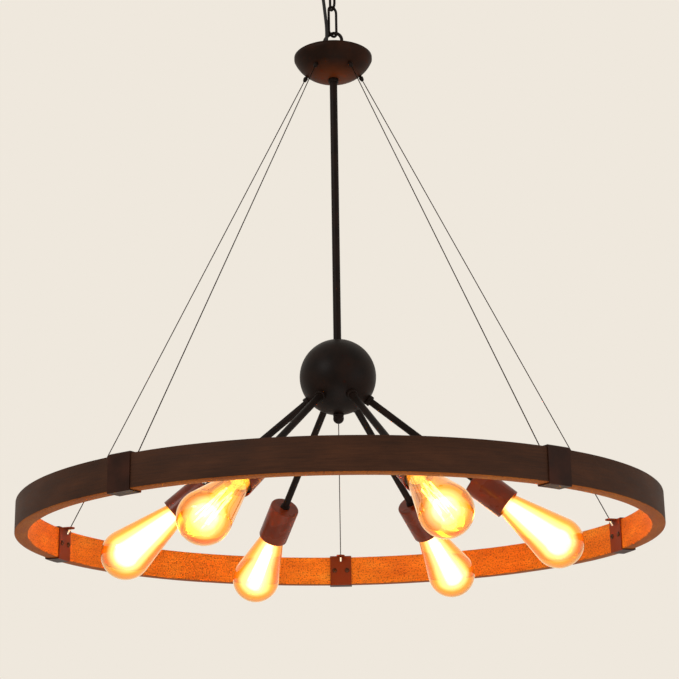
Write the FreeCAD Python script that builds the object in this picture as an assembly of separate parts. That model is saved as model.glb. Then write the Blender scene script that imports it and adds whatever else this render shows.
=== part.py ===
"""Wagon wheel chandelier: a ring of five bent staves hung on cables round a six armed lamp cluster.

Millimetres, +Z up. The origin is the centre of the ceiling bracket's upper face, where the lamp
is screwed to the ceiling box, so the whole lamp hangs below it. -Y is the front.
"""
import FreeCAD, Part
import math
import os
from FreeCAD import Placement, Rotation, Vector

# ---------------------------------------------------------------- driving dimensions

# Clearances
moving_gap = 0.3          # between two pieces that swing or slide on each other
fit_gap = 0.1             # round a piece that stays in its hole
cable_gap = 0.05          # round a cable in a drilled bore

# Wheel rim, made of bent staves
ring_outer_radius = 400.0
ring_height = 39.5
ring_thickness = 17.0
ring_edge = 1.0           # broken corners of a stave
stave_count = 5
stave_end_gap = 0.6       # between the ends of two staves, inside a clamp
first_joint_azimuth = 90.0

# Sheet metal clamps over the joints between staves
clamp_width = 32.0
clamp_sheet = 1.5
clamp_bend = 0.9          # cut off the outside of each fold
lug_width = 12.0
lug_reach = 13.0          # from the clamp's inner plate to the rounded end
lug_hole_inset = 6.0      # from the rounded end to the cable
clamp_screw_spacing = 18.0
clamp_screw_length = 13.0
clamp_screw_radius = 1.7
clamp_screw_head_radius = 3.4
clamp_screw_head_height = 2.0
clamp_screw_flat_radius = 1.9
clamp_screw_rim = 0.8     # straight edge of the head

# Suspension cables
cable_radius = 0.7
cable_seat_radius = 38.0  # where a cable leaves the hub, measured from the lamp's axis
cable_tail = 7.0          # end of the cable inside the hub
ferrule_radius = 1.9
ferrule_length = 6.5
gripper_radius = 3.0
gripper_length = 7.0
gripper_nose_radius = 1.9
gripper_nose_length = 3.0
gripper_stem_radius = 2.0
gripper_nut_radius = 4.0
gripper_nut_height = 2.5
gripper_stem_length = 6.0 # inside the hub

# Hub: a spun dish with a flat cover
hub_height_above_ring = 659.6
hub_radius = 52.7
hub_lip = 4.5
hub_depth = 32.5
hub_floor_radius = 9.0
hub_wall = 1.2
hub_cover_thickness = 1.5
hub_cover_edge = 0.6

# Down rod, a tube threaded at both ends
rod_radius = 5.1
rod_bore_radius = 3.0
rod_thread_radius = 4.8
rod_collar_radius = 7.0
rod_collar_height = 5.0
rod_tail_radius = 4.0

# Ball, its inner core and the finial
ball_height_above_ring = 209.6
ball_radius = 49.1
ball_wall = 1.8
core_radius = 22.0
core_top = 12.0
core_bottom = 21.0
finial_radius = 6.9
finial_length = 12.5
finial_thread_depth = 6.0

# Lamp arms
arm_count = 6
first_arm_azimuth = -4.2
arm_drop_angle = 39.3
arm_radius = 4.5
arm_bore_radius = 3.3
arm_inner_end = 13.5      # from the ball's centre
arm_collar_radius = 6.8
arm_collar_length = 5.0
arm_collar_chamfer = 1.2
arm_end_in_socket = 8.0

# Socket cups and lamp holders
cup_top_distance = 219.0  # from the ball's centre, along the arm
cup_radius = 19.5
cup_length = 52.5
cup_wall = 1.2
cup_edge_radius = 2.5
holder_wall_gap = 0.8
holder_mouth_gap = 0.5    # between the holder and the bulb's glass

# Bulbs, a 64 mm pear shape on a 26 mm screw cap
bulb_radius = 32.0
bulb_length = 109.5       # glass, from the mouth of the cup to the tip
bulb_neck_radius = 13.8
bulb_neck_inset = 5.0     # from the mouth of the cup to the cap
bulb_wall = 0.9
cap_radius = 13.1
cap_wall = 0.8
cap_length = 19.0
cap_cone_length = 4.0
cap_cone_end_radius = 7.2
cap_contact_radius = 4.5
cap_contact_length = 2.0
filament_count = 10
filament_width = 1.0
filament_top_circle = 6.5
filament_bottom_circle = 9.5
filament_start = 24.0     # from the mouth of the cup
filament_end = 86.0
bulb_stem_radius = 5.0
bulb_stem_neck_radius = 4.0
bulb_stem_length = 15.0
bulb_stem_tip = 3.0
spider_hub_radius = 1.2
spider_thickness = 1.0

# Chain
link_length = 47.5
link_width = 18.0
link_wire_radius = 1.75
upper_link_azimuth = -66.0
lower_link_azimuth = 46.0

# Loops at the ends of the chain
loop_radius = 15.6        # outside
loop_wire_radius = 2.25
hub_loop_azimuth = -25.0
hub_loop_height = 22.3    # from the hub's cover to the centre of the loop
loop_root_radius = 4.0    # where the wire runs into the shank or the foot
hub_loop_foot_radius = 7.5
hub_loop_foot_height = 3.0
hub_loop_thread_depth = 8.0
ceiling_loop_azimuth = 24.0
ceiling_loop_shank_radius = 8.0
ceiling_loop_shank_in_canopy = 7.0
ceiling_loop_drop = 4.0   # from the collar nut to the top of the loop's wire

# Ceiling fitting
canopy_radius = 65.0
canopy_lip = 4.0
canopy_depth = 25.0
canopy_floor_radius = 24.0
canopy_wall = 1.0
collar_nut_radius = 13.0
collar_nut_height = 8.0
collar_nut_chamfer = 1.2
crossbar_length = 104.0
crossbar_width = 25.0
crossbar_thickness = 2.0
crossbar_corner = 5.0
crossbar_slot_inset = 12.3  # from the end of the bar to the middle of a slot
crossbar_slot_length = 14.4
crossbar_slot_width = 4.8
nipple_radius = 4.8
nipple_bore_radius = 3.0
nipple_in_loop = 10.0     # length of the nipple screwed into the loop's shank
lock_nut_across_flats = 15.0
lock_nut_height = 4.0

# Power cord and its bushes
cord_radius = 2.25
cord_tail = 5.0           # inside the hub and inside the canopy
bush_body_radius = 3.1
bush_flange_radius = 3.9
bush_flange_height = 1.5

# ---------------------------------------------------------------- derived places

ring_inner_radius = ring_outer_radius - ring_thickness
crossbar_slot_spacing = crossbar_length - 2 * crossbar_slot_inset
loop_centre_radius = loop_radius - loop_wire_radius
link_pitch = link_length - 2 * link_wire_radius
link_end_radius = link_width / 2 - link_wire_radius

canopy_floor_z = -canopy_depth
collar_bottom_z = canopy_floor_z - collar_nut_height
ceiling_loop_z = collar_bottom_z - ceiling_loop_drop - loop_centre_radius
upper_link_top_z = (ceiling_loop_z - loop_centre_radius
                    + loop_wire_radius + moving_gap + link_wire_radius)
upper_link_bottom_z = upper_link_top_z - link_pitch
lower_link_top_z = upper_link_bottom_z + 2 * link_wire_radius + moving_gap
lower_link_bottom_z = lower_link_top_z - link_pitch
hub_loop_z = (lower_link_bottom_z + link_wire_radius + moving_gap
              + loop_wire_radius - loop_centre_radius)
hub_z = hub_loop_z - hub_loop_height
ring_bottom_z = hub_z - hub_height_above_ring
ring_top_z = ring_bottom_z + ring_height
ball_z = ring_bottom_z + ball_height_above_ring
hub_floor_z = hub_z - hub_depth
shank_top_z = canopy_floor_z + canopy_wall + ceiling_loop_shank_in_canopy
cap_end_z = -bulb_neck_inset - cap_length - cap_cone_length - cap_contact_length
hub_rim_z = hub_z - hub_cover_thickness

# The power cord's route, from inside the hub up past the chain to the inside of the canopy.
# Each bend has its place in radii of the loops and its height in shares of the chain's length.
chain_run = canopy_floor_z - hub_z
cord_bends = [
    (-0.596, -0.577, 0.087),
    (-0.481, -0.564, 0.227),
    (-0.667, -0.590, 0.440),
    (-0.795, -0.609, 0.560),
    (-0.891, -0.596, 0.680),
    (-0.994, -0.609, 0.854),
]
cord_route = [(x * loop_radius, y * loop_radius, hub_z + share * chain_run)
              for x, y, share in cord_bends]
cord_route.insert(0, (cord_route[0][0], cord_route[0][1], hub_z - cord_tail))
cord_route.append((cord_route[-1][0], cord_route[-1][1], canopy_floor_z + cord_tail))

# The suspension cables run in a straight line from the hub's side to the lugs on the clamps
joint_azimuths = [first_joint_azimuth + k * 360 / stave_count for k in range(stave_count)]
clamp_inner_radius = ring_inner_radius - fit_gap - clamp_sheet
clamp_top_z = ring_top_z + fit_gap + clamp_sheet
lug_hole_radius = clamp_inner_radius - lug_reach + lug_hole_inset

UP = Vector(0, 0, 1)
ORIGIN = Vector(0, 0, 0)

# ---------------------------------------------------------------- shape helpers


def line(start, end):
    """Straight edge between two (radius, height) points of a turned profile."""
    return Part.LineSegment(Vector(start[0], 0, start[1]), Vector(end[0], 0, end[1])).toShape()


def arc(start, middle, end):
    """Round edge through three (radius, height) points of a turned profile."""
    points = [Vector(radius, 0, height) for radius, height in (start, middle, end)]
    return Part.Arc(*points).toShape()


def turned(edges, degrees=360.0):
    """Solid of revolution about Z from the edges of a closed profile."""
    return Part.Face(Part.Wire(edges)).revolve(ORIGIN, UP, degrees)


def turned_outline(points, degrees=360.0):
    """Solid of revolution about Z from the corners of a closed profile."""
    closed = list(points) + [points[0]]
    return turned([line(a, b) for a, b in zip(closed, closed[1:])], degrees)


def rod(radius, bottom, top):
    return Part.makeCylinder(radius, top - bottom, Vector(0, 0, bottom), UP)


def tube(radius, bore, bottom, top):
    return rod(radius, bottom, top).cut(rod(bore, bottom, top))


def pointed(shape, origin, direction):
    """The shape moved so that its own Z axis starts at origin and runs along direction."""
    moved = shape.copy()
    moved.Placement = Placement(origin, Rotation(UP, direction))
    return moved


def spun(shape, degrees):
    """The shape turned about the lamp's axis."""
    moved = shape.copy()
    moved.rotate(ORIGIN, UP, degrees)
    return moved


def at(radius, azimuth, z):
    angle = math.radians(azimuth)
    return Vector(radius * math.cos(angle), radius * math.sin(angle), z)


def hexagon(across_flats, bottom, top):
    corner = across_flats / math.sqrt(3)
    corners = [at(corner, 60 * k, bottom) for k in range(7)]
    return Part.Face(Part.makePolygon(corners)).extrude(Vector(0, 0, top - bottom))


def upright_eye(azimuth, z):
    """Round eye of the loops' wire, standing in the plane through the lamp's axis."""
    eye = Part.makeTorus(loop_centre_radius, loop_wire_radius)
    eye.rotate(ORIGIN, Vector(1, 0, 0), 90)
    eye.rotate(ORIGIN, UP, azimuth)
    eye.translate(Vector(0, 0, z))
    return eye


class Bowl:
    """Spun sheet dish, open at the top: upright lip, round side and flat floor."""

    def __init__(self, rim_radius, top, lip, depth, floor_radius, wall):
        self.rim_radius, self.top, self.wall = rim_radius, top, wall
        self.floor_radius, self.floor = floor_radius, top - depth
        self.side = depth - lip
        self.reach = rim_radius - floor_radius
        self.bend = (self.reach ** 2 + self.side ** 2) / (2 * self.side)

    def solid(self):
        floor, wall, rim, flat = self.floor, self.wall, self.rim_radius, self.floor_radius
        swing = math.asin(self.reach / self.bend) / 2
        inner_bend = self.bend - wall
        inner_lip = floor + self.bend - math.sqrt(inner_bend ** 2 - (self.reach - wall) ** 2)

        def side_point(bend, base):
            return flat + bend * math.sin(swing), base + bend * (1 - math.cos(swing))

        return turned([
            line((0, floor), (flat, floor)),
            arc((flat, floor), side_point(self.bend, floor), (rim, floor + self.side)),
            line((rim, floor + self.side), (rim, self.top)),
            line((rim, self.top), (rim - wall, self.top)),
            line((rim - wall, self.top), (rim - wall, inner_lip)),
            arc((rim - wall, inner_lip), side_point(inner_bend, floor + wall), (flat, floor + wall)),
            line((flat, floor + wall), (0, floor + wall)),
            line((0, floor + wall), (0, floor)),
        ])

    def side_z(self, radius):
        """Height of the outside of the round side."""
        return self.floor + self.bend - math.sqrt(self.bend ** 2 - (radius - self.floor_radius) ** 2)

    def side_normal(self, radius, azimuth):
        """Direction straight out of the round side."""
        slope = math.asin((radius - self.floor_radius) / self.bend)
        return at(math.sin(slope), azimuth, -math.cos(slope))


hub_bowl = Bowl(hub_radius, hub_rim_z, hub_lip - hub_cover_thickness,
                hub_depth - hub_cover_thickness, hub_floor_radius, hub_wall)
canopy_bowl = Bowl(canopy_radius, 0, canopy_lip, canopy_depth, canopy_floor_radius, canopy_wall)


# ---------------------------------------------------------------- ceiling fitting


def ceiling_crossbar():
    """Flat steel strap with a slot near each end for the ceiling box's screws."""
    bar = Part.makeBox(crossbar_length, crossbar_width, crossbar_thickness,
                       Vector(-crossbar_length / 2, -crossbar_width / 2, -crossbar_thickness))
    upright = [edge for edge in bar.Edges if abs(edge.tangentAt(0).z) > 0.9]
    bar = bar.makeFillet(crossbar_corner, upright)
    half = (crossbar_slot_length - crossbar_slot_width) / 2
    for side in (-1, 1):
        middle = side * crossbar_slot_spacing / 2
        slot = Part.makeBox(2 * half, crossbar_slot_width, crossbar_thickness,
                            Vector(middle - half, -crossbar_slot_width / 2, -crossbar_thickness))
        for end in (-half, half):
            slot_end = rod(crossbar_slot_width / 2, -crossbar_thickness, 0)
            slot_end.translate(Vector(middle + end, 0, 0))
            slot = slot.fuse(slot_end)
        bar = bar.cut(slot)
    return bar.cut(rod(nipple_radius + fit_gap, -crossbar_thickness, 0))


def ceiling_nipple():
    return tube(nipple_radius, nipple_bore_radius, shank_top_z - nipple_in_loop, 0)


def ceiling_lock_nut():
    top = -crossbar_thickness
    nut = hexagon(lock_nut_across_flats, top - lock_nut_height, top)
    return nut.cut(rod(nipple_radius + fit_gap, top - lock_nut_height, top))


def ceiling_canopy():
    shell = canopy_bowl.solid()
    shank_hole = rod(ceiling_loop_shank_radius + fit_gap, canopy_floor_z, canopy_floor_z + canopy_wall)
    return shell.cut(shank_hole).cut(bush_hole(cord_route[-1], canopy_floor_z + canopy_wall, canopy_wall))


def canopy_collar_nut():
    """Ring nut that clamps the canopy up against the ceiling."""
    bore = ceiling_loop_shank_radius + fit_gap
    return turned_outline([
        (bore, canopy_floor_z),
        (collar_nut_radius, canopy_floor_z),
        (collar_nut_radius, collar_bottom_z + collar_nut_chamfer),
        (collar_nut_radius - collar_nut_chamfer, collar_bottom_z),
        (bore, collar_bottom_z),
    ])


def ceiling_loop():
    """Eye with a threaded shank that passes through the collar nut and the canopy."""
    root_z = ceiling_loop_z + loop_centre_radius
    shank = turned_outline([
        (0, root_z),
        (loop_root_radius, root_z),
        (ceiling_loop_shank_radius, collar_bottom_z - fit_gap),
        (ceiling_loop_shank_radius, shank_top_z),
        (0, shank_top_z),
    ])
    bore = rod(nipple_radius + fit_gap, shank_top_z - nipple_in_loop, shank_top_z)
    return upright_eye(ceiling_loop_azimuth, ceiling_loop_z).fuse(shank).cut(bore)


# ---------------------------------------------------------------- chain and power cord


def chain_link(top_z, azimuth):
    """Long link of round wire: two half turns joined by two straight sides."""
    straight = link_pitch - 2 * link_end_radius
    section = Part.Face(Part.Wire(Part.makeCircle(
        link_wire_radius, Vector(link_end_radius, 0, 0), UP)))
    upper_centre = Vector(0, 0, top_z - link_end_radius)
    lower_centre = upper_centre - Vector(0, 0, straight)
    upper_end = section.revolve(ORIGIN, Vector(0, -1, 0), 180)
    upper_end.translate(upper_centre)
    lower_end = section.revolve(ORIGIN, Vector(0, 1, 0), 180)
    lower_end.translate(lower_centre)
    sides = [Part.makeCylinder(link_wire_radius, straight,
                               lower_centre + Vector(side * link_end_radius, 0, 0), UP)
             for side in (-1, 1)]
    return spun(upper_end.multiFuse([lower_end] + sides), azimuth)


def bush_hole(place, top, wall):
    """Drill for the hole that a cord bush snaps into, through a sheet under the height top."""
    return Part.makeCylinder(bush_body_radius + fit_gap, wall,
                             Vector(place[0], place[1], top - wall), UP)


def cord_bush(place, top, wall):
    """Snap-in rubber bush: a flange on each side of the sheet and a bore for the cord."""
    bore = cord_radius + fit_gap
    spool = turned_outline([
        (bore, top - wall - bush_flange_height),
        (bush_flange_radius, top - wall - bush_flange_height),
        (bush_flange_radius, top - wall),
        (bush_body_radius, top - wall),
        (bush_body_radius, top),
        (bush_flange_radius, top),
        (bush_flange_radius, top + bush_flange_height),
        (bore, top + bush_flange_height),
    ])
    spool.translate(Vector(place[0], place[1], 0))
    return spool


def round_corner(before, corner, after):
    """Wide tangent arc at a corner of a route: its start, middle, end and radius."""
    share_of_run = 0.45
    inward, outward = corner - before, after - corner
    reach = share_of_run * min(inward.Length, outward.Length)
    half_turn = inward.getAngle(outward) / 2
    radius = reach / math.tan(half_turn)
    start = corner - inward * (reach / inward.Length)
    end = corner + outward * (reach / outward.Length)
    to_centre = (start + end) / 2 - corner
    middle = corner + to_centre * ((radius / math.cos(half_turn) - radius) / to_centre.Length)
    return start, middle, end, radius


def power_cord_pieces():
    """The cord from the hub to the canopy, cut straight across beside each chain link."""
    points = [Vector(*point) for point in cord_route]
    cut_runs = [2, 4]
    corners = [round_corner(*points[k - 1:k + 2]) for k in range(1, len(points) - 1)]
    print("cord radii", [round(radius) for _, _, _, radius in corners])
    cuts = [(points[run] + points[run + 1]) / 2 for run in cut_runs]
    ends = [points[0]] + cuts + [points[-1]]
    runs = [0] + cut_runs + [len(points) - 2]
    pieces = []
    for begin, finish, first, last in zip(ends, ends[1:], runs, runs[1:]):
        edges = []
        here = begin
        for start, middle, end, _ in corners[first:last]:
            edges.append(Part.LineSegment(here, start).toShape())
            edges.append(Part.Arc(start, middle, end).toShape())
            here = end
        edges.append(Part.LineSegment(here, finish).toShape())
        route = Part.Wire(edges)
        section = Part.Wire(Part.makeCircle(cord_radius, begin, edges[0].tangentAt(0)))
        piece = route.makePipeShell([section], True, False)
        expected = math.pi * cord_radius ** 2 * route.Length
        print("cord piece volume over section times length", round(piece.Volume / expected, 4))
        pieces.append(piece)
    return pieces


# ---------------------------------------------------------------- hub


def hub_loop():
    """Eye on a round foot that screws down on the rod's thread and holds the cover."""
    foot_top = hub_z + hub_loop_foot_height
    root_z = hub_loop_z - loop_centre_radius
    foot = turned_outline([
        (0, hub_z),
        (hub_loop_foot_radius, hub_z),
        (hub_loop_foot_radius, foot_top),
        (loop_root_radius, root_z),
        (0, root_z),
    ])
    bore = rod(rod_thread_radius + fit_gap, hub_z, hub_z + hub_loop_thread_depth)
    return upright_eye(hub_loop_azimuth, hub_loop_z).fuse(foot).cut(bore)


def hub_cover():
    disc = turned_outline([
        (0, hub_rim_z),
        (hub_radius, hub_rim_z),
        (hub_radius, hub_z - hub_cover_edge),
        (hub_radius - hub_cover_edge, hub_z),
        (0, hub_z),
    ])
    disc = disc.cut(rod(rod_thread_radius + fit_gap, hub_rim_z, hub_z))
    return disc.cut(bush_hole(cord_route[0], hub_z, hub_cover_thickness))


class Cable:
    """Straight line of one suspension cable and what sits on it."""

    def __init__(self, azimuth):
        self.azimuth = azimuth
        self.top = at(cable_seat_radius, azimuth, hub_bowl.side_z(cable_seat_radius))
        self.bottom = at(lug_hole_radius, azimuth, clamp_top_z - clamp_sheet / 2)
        self.run = self.bottom - self.top
        self.length = self.run.Length
        self.tilt = self.run.getAngle(-UP)
        self.lean = self.run.getAngle(hub_bowl.side_normal(cable_seat_radius, azimuth))
        self.ferrule_start = (clamp_sheet / 2 / math.cos(self.tilt)
                              + ferrule_radius * math.tan(self.tilt) + fit_gap)

    def drill(self, radius, start, end):
        """Cylinder along the cable between two distances from where it leaves the hub."""
        return pointed(rod(radius, start, end), self.top, self.run)

    def wire(self):
        end = self.length + self.ferrule_start + ferrule_length
        return self.drill(cable_radius, -cable_tail, end)

    def ferrule(self):
        start = self.length + self.ferrule_start
        sleeve = tube(ferrule_radius, cable_radius + cable_gap, start, start + ferrule_length)
        return pointed(sleeve, self.top, self.run)

    def hub_hole(self):
        return self.drill(gripper_stem_radius + fit_gap, -cable_tail, gripper_length)

    def gripper(self):
        """Threaded stem through the dish with a shoulder, a body and a conical nose outside."""
        shoulder = gripper_radius * math.tan(self.lean) + fit_gap
        body_end = shoulder + gripper_length
        bore = cable_radius + cable_gap
        return pointed(turned_outline([
            (bore, -gripper_stem_length),
            (gripper_stem_radius, -gripper_stem_length),
            (gripper_stem_radius, shoulder),
            (gripper_radius, shoulder),
            (gripper_radius, body_end),
            (gripper_nose_radius, body_end + gripper_nose_length),
            (bore, body_end + gripper_nose_length),
        ]), self.top, self.run)

    def gripper_nut(self):
        """Nut on the stem inside the dish."""
        seat = (hub_wall / math.cos(self.lean) + gripper_nut_radius * math.tan(self.lean)
                + moving_gap)
        nut = tube(gripper_nut_radius, gripper_stem_radius + cable_gap,
                   -seat - gripper_nut_height, -seat)
        return pointed(nut, self.top, self.run)


cables = [Cable(azimuth) for azimuth in joint_azimuths]


def hub_dish():
    shell = hub_bowl.solid()
    shell = shell.cut(rod(rod_thread_radius + fit_gap, hub_floor_z, hub_floor_z + hub_wall))
    for cable in cables:
        shell = shell.cut(cable.hub_hole())
    return shell


# ---------------------------------------------------------------- rim


def clamp_screw_places(azimuth):
    """Azimuths of the two screws of a clamp, one into the end of each stave."""
    half = math.degrees(clamp_screw_spacing / 2 / clamp_inner_radius)
    return azimuth - half, azimuth + half


def screw_hole(azimuth, radius, depth):
    """Drill into the rim from its inner side, at mid height."""
    start = at(clamp_inner_radius, azimuth, ring_bottom_z + ring_height / 2)
    return Part.makeCylinder(radius, depth, start, at(1, azimuth, 0))


def ring_stave(azimuth):
    """Bent stave from the joint at the azimuth to the next one."""
    gap = math.degrees(stave_end_gap / ring_inner_radius)
    inner, outer, low, high = ring_inner_radius, ring_outer_radius, ring_bottom_z, ring_top_z
    edge = ring_edge
    sweep = 360 / stave_count
    stave = turned_outline([
        (inner + edge, low), (outer - edge, low), (outer, low + edge), (outer, high - edge),
        (outer - edge, high), (inner + edge, high), (inner, high - edge), (inner, low + edge),
    ], sweep - gap)
    stave = spun(stave, azimuth + gap / 2)
    for place in (clamp_screw_places(azimuth)[1], clamp_screw_places(azimuth + sweep)[0]):
        stave = stave.cut(screw_hole(place, clamp_screw_radius + cable_gap,
                                     clamp_screw_length + fit_gap))
    return stave


def ring_clamp(cable):
    """Sheet sleeve round the ends of two staves, with a lug on top that the cable holds."""
    inner, outer = clamp_inner_radius, ring_outer_radius + fit_gap + clamp_sheet
    low, high = ring_bottom_z - fit_gap - clamp_sheet, clamp_top_z
    sweep = math.degrees(clamp_width / ring_outer_radius)
    sheet, bend = clamp_sheet, clamp_bend
    sleeve = turned_outline([
        (inner + bend, low), (outer - bend, low), (outer, low + bend), (outer, high - bend),
        (outer - bend, high), (inner + bend, high), (inner, high - bend), (inner, low + bend),
    ], sweep)
    hollow = turned_outline([
        (inner + sheet, low + sheet), (outer - sheet, low + sheet),
        (outer - sheet, high - sheet), (inner + sheet, high - sheet),
    ], sweep)
    sleeve = spun(sleeve.cut(hollow), -sweep / 2)
    tongue = Part.makeBox(lug_reach - lug_hole_inset + 2 * sheet, lug_width, sheet,
                          Vector(lug_hole_radius, -lug_width / 2, high - sheet))
    tongue_end = Part.makeCylinder(lug_width / 2, sheet, Vector(lug_hole_radius, 0, high - sheet), UP)
    clamp = spun(sleeve.multiFuse([tongue, tongue_end]), cable.azimuth)
    clamp = clamp.cut(cable.drill(cable_radius + moving_gap,
                                  cable.length - 2 * sheet, cable.length + 2 * sheet))
    for place in clamp_screw_places(cable.azimuth):
        clamp = clamp.cut(screw_hole(place, clamp_screw_radius + fit_gap, 2 * sheet))
    return clamp


def clamp_screw(azimuth):
    """Pan head wood screw."""
    screw = turned_outline([
        (0, -clamp_screw_head_height),
        (clamp_screw_flat_radius, -clamp_screw_head_height),
        (clamp_screw_head_radius, -clamp_screw_rim),
        (clamp_screw_head_radius, 0),
        (clamp_screw_radius, 0),
        (clamp_screw_radius, clamp_screw_length - clamp_screw_radius),
        (0, clamp_screw_length),
    ])
    seat = at(clamp_inner_radius - cable_gap, azimuth, ring_bottom_z + ring_height / 2)
    return pointed(screw, seat, at(1, azimuth, 0))


# ---------------------------------------------------------------- rod, ball and arms


def down_rod():
    """Tube with a collar under the hub, a thread above it and a thinner thread at the bottom."""
    collar_bottom = hub_floor_z - rod_collar_height
    tail_top = ball_z - core_bottom
    return turned_outline([
        (rod_bore_radius, hub_z + hub_loop_thread_depth - fit_gap),
        (rod_thread_radius, hub_z + hub_loop_thread_depth - fit_gap),
        (rod_thread_radius, hub_floor_z),
        (rod_collar_radius, hub_floor_z),
        (rod_collar_radius, collar_bottom),
        (rod_radius, collar_bottom),
        (rod_radius, tail_top),
        (rod_tail_radius, tail_top),
        (rod_tail_radius, ball_z - ball_radius - finial_thread_depth + fit_gap),
        (rod_bore_radius, ball_z - ball_radius - finial_thread_depth + fit_gap),
    ])


def arm_direction(k):
    drop = math.radians(arm_drop_angle)
    azimuth = first_arm_azimuth + k * 360 / arm_count
    return at(math.cos(drop), azimuth, -math.sin(drop))


def along_arm(shape, k, distance=0.0):
    """The shape moved from the origin to a distance along arm k from the ball's centre."""
    direction = arm_direction(k)
    return pointed(shape, Vector(0, 0, ball_z) + direction * distance, direction)


def ball_shell():
    centre = Vector(0, 0, ball_z)
    shell = Part.makeSphere(ball_radius, centre).cut(Part.makeSphere(ball_radius - ball_wall, centre))
    shell = shell.cut(rod(rod_radius + fit_gap, ball_z, ball_z + ball_radius))
    shell = shell.cut(rod(rod_tail_radius + fit_gap, ball_z - ball_radius, ball_z))
    drill = rod(arm_radius + fit_gap, core_radius, ball_radius)
    for k in range(arm_count):
        shell = shell.cut(along_arm(drill, k))
    return shell


def cluster_core():
    """Turned hub inside the ball that the rod and all the arms screw into."""
    core = Part.makeSphere(core_radius, Vector(0, 0, ball_z))
    slab = rod(core_radius, ball_z - core_bottom, ball_z + core_top)
    core = core.common(slab).cut(rod(rod_radius + cable_gap, ball_z - core_bottom, ball_z + core_top))
    socket = rod(arm_radius + cable_gap, arm_inner_end, core_radius + moving_gap)
    for k in range(arm_count):
        core = core.cut(along_arm(socket, k))
    return core


def ball_finial():
    """Acorn nut on the end of the rod, under the ball."""
    pole = ball_z - ball_radius
    seat = pole - fit_gap
    end = pole - finial_length
    dome_top = end + finial_radius
    middle = finial_radius * math.sin(math.radians(45))
    finial = turned([
        line((0, seat), (finial_radius, seat)),
        line((finial_radius, seat), (finial_radius, dome_top)),
        arc((finial_radius, dome_top), (middle, dome_top - middle), (0, end)),
        line((0, end), (0, seat)),
    ])
    return finial.cut(rod(rod_tail_radius + cable_gap, pole - finial_thread_depth, seat))


def lamp_arm():
    """Tube from the core to the socket, with a collar that seats on the ball."""
    seat = ball_radius + cable_gap
    collar_end = seat + arm_collar_length
    end = cup_top_distance + cup_wall + arm_end_in_socket
    return turned_outline([
        (arm_bore_radius, arm_inner_end),
        (arm_radius, arm_inner_end),
        (arm_radius, seat),
        (arm_collar_radius, seat),
        (arm_collar_radius, collar_end - arm_collar_chamfer),
        (arm_collar_radius - arm_collar_chamfer, collar_end),
        (arm_radius, collar_end),
        (arm_radius, end),
        (arm_bore_radius, end),
    ])


# ---------------------------------------------------------------- sockets and bulbs
# Their own axis runs from the mouth of the cup towards the tip of the bulb.


def corner_arc(centre_radius, centre_z, radius):
    """Quarter turn from straight down to straight out round a turned corner."""
    half = radius * math.sin(math.radians(45))
    return arc((centre_radius, centre_z - radius), (centre_radius + half, centre_z - half),
               (centre_radius + radius, centre_z))


def socket_cup():
    top = -cup_length
    hole = arm_radius + cable_gap
    turn = cup_radius - cup_edge_radius
    turn_z = top + cup_edge_radius
    inside = cup_radius - cup_wall
    return turned([
        line((hole, top), (turn, top)),
        corner_arc(turn, turn_z, cup_edge_radius),
        line((cup_radius, turn_z), (cup_radius, 0)),
        line((cup_radius, 0), (inside, 0)),
        line((inside, 0), (inside, turn_z)),
        line((inside, turn_z), (turn, top + cup_wall)),
        line((turn, top + cup_wall), (hole, top + cup_wall)),
        line((hole, top + cup_wall), (hole, top)),
    ])


def lamp_holder():
    """Insulating body with the well for the bulb's cap."""
    outside = cup_radius - cup_wall - holder_wall_gap
    seat = cup_wall - cup_length
    mouth = -bulb_neck_inset - holder_mouth_gap
    well = rod(cap_radius + moving_gap, cap_end_z - moving_gap, mouth)
    body = turned_outline([
        (0, seat),
        (outside - cup_edge_radius, seat),
        (outside, seat + cup_edge_radius),
        (outside, mouth),
        (0, mouth),
    ])
    return body.cut(well).cut(rod(arm_radius + cable_gap, seat, seat + arm_end_in_socket + fit_gap))


def pear(end_radius, neck_radius, tip):
    """Solid pear: a round end, and a straight side that meets it without a corner."""
    centre = bulb_length - bulb_radius
    reach = centre + bulb_neck_inset
    lean = math.atan2(reach, neck_radius) - math.acos(end_radius / math.hypot(neck_radius, reach))
    neck = (neck_radius, -bulb_neck_inset)
    shoulder = (end_radius * math.cos(lean), centre - end_radius * math.sin(lean))
    half = (math.pi / 2 - lean) / 2
    end_middle = (end_radius * math.cos(half), centre + end_radius * math.sin(half))
    return turned([
        line((0, neck[1]), neck),
        line(neck, shoulder),
        arc(shoulder, end_middle, (0, tip)),
        line((0, tip), (0, neck[1])),
    ])


def bulb_glass():
    outer = pear(bulb_radius, bulb_neck_radius, bulb_length)
    inner = pear(bulb_radius - bulb_wall, bulb_neck_radius - bulb_wall, bulb_length - bulb_wall)
    return outer.cut(inner)


def bulb_cap():
    """Screw cap: a plain shell, an insulating cone and the centre contact."""
    cone_top = cap_end_z + cap_contact_length + cap_cone_length
    return turned_outline([
        (0, cone_top),
        (cap_radius - cap_wall, cone_top),
        (cap_radius - cap_wall, -bulb_neck_inset),
        (cap_radius, -bulb_neck_inset),
        (cap_radius, cone_top),
        (cap_cone_end_radius, cap_end_z + cap_contact_length),
        (cap_contact_radius, cap_end_z + cap_contact_length),
        (cap_contact_radius, cap_end_z),
        (0, cap_end_z),
    ])


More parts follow.
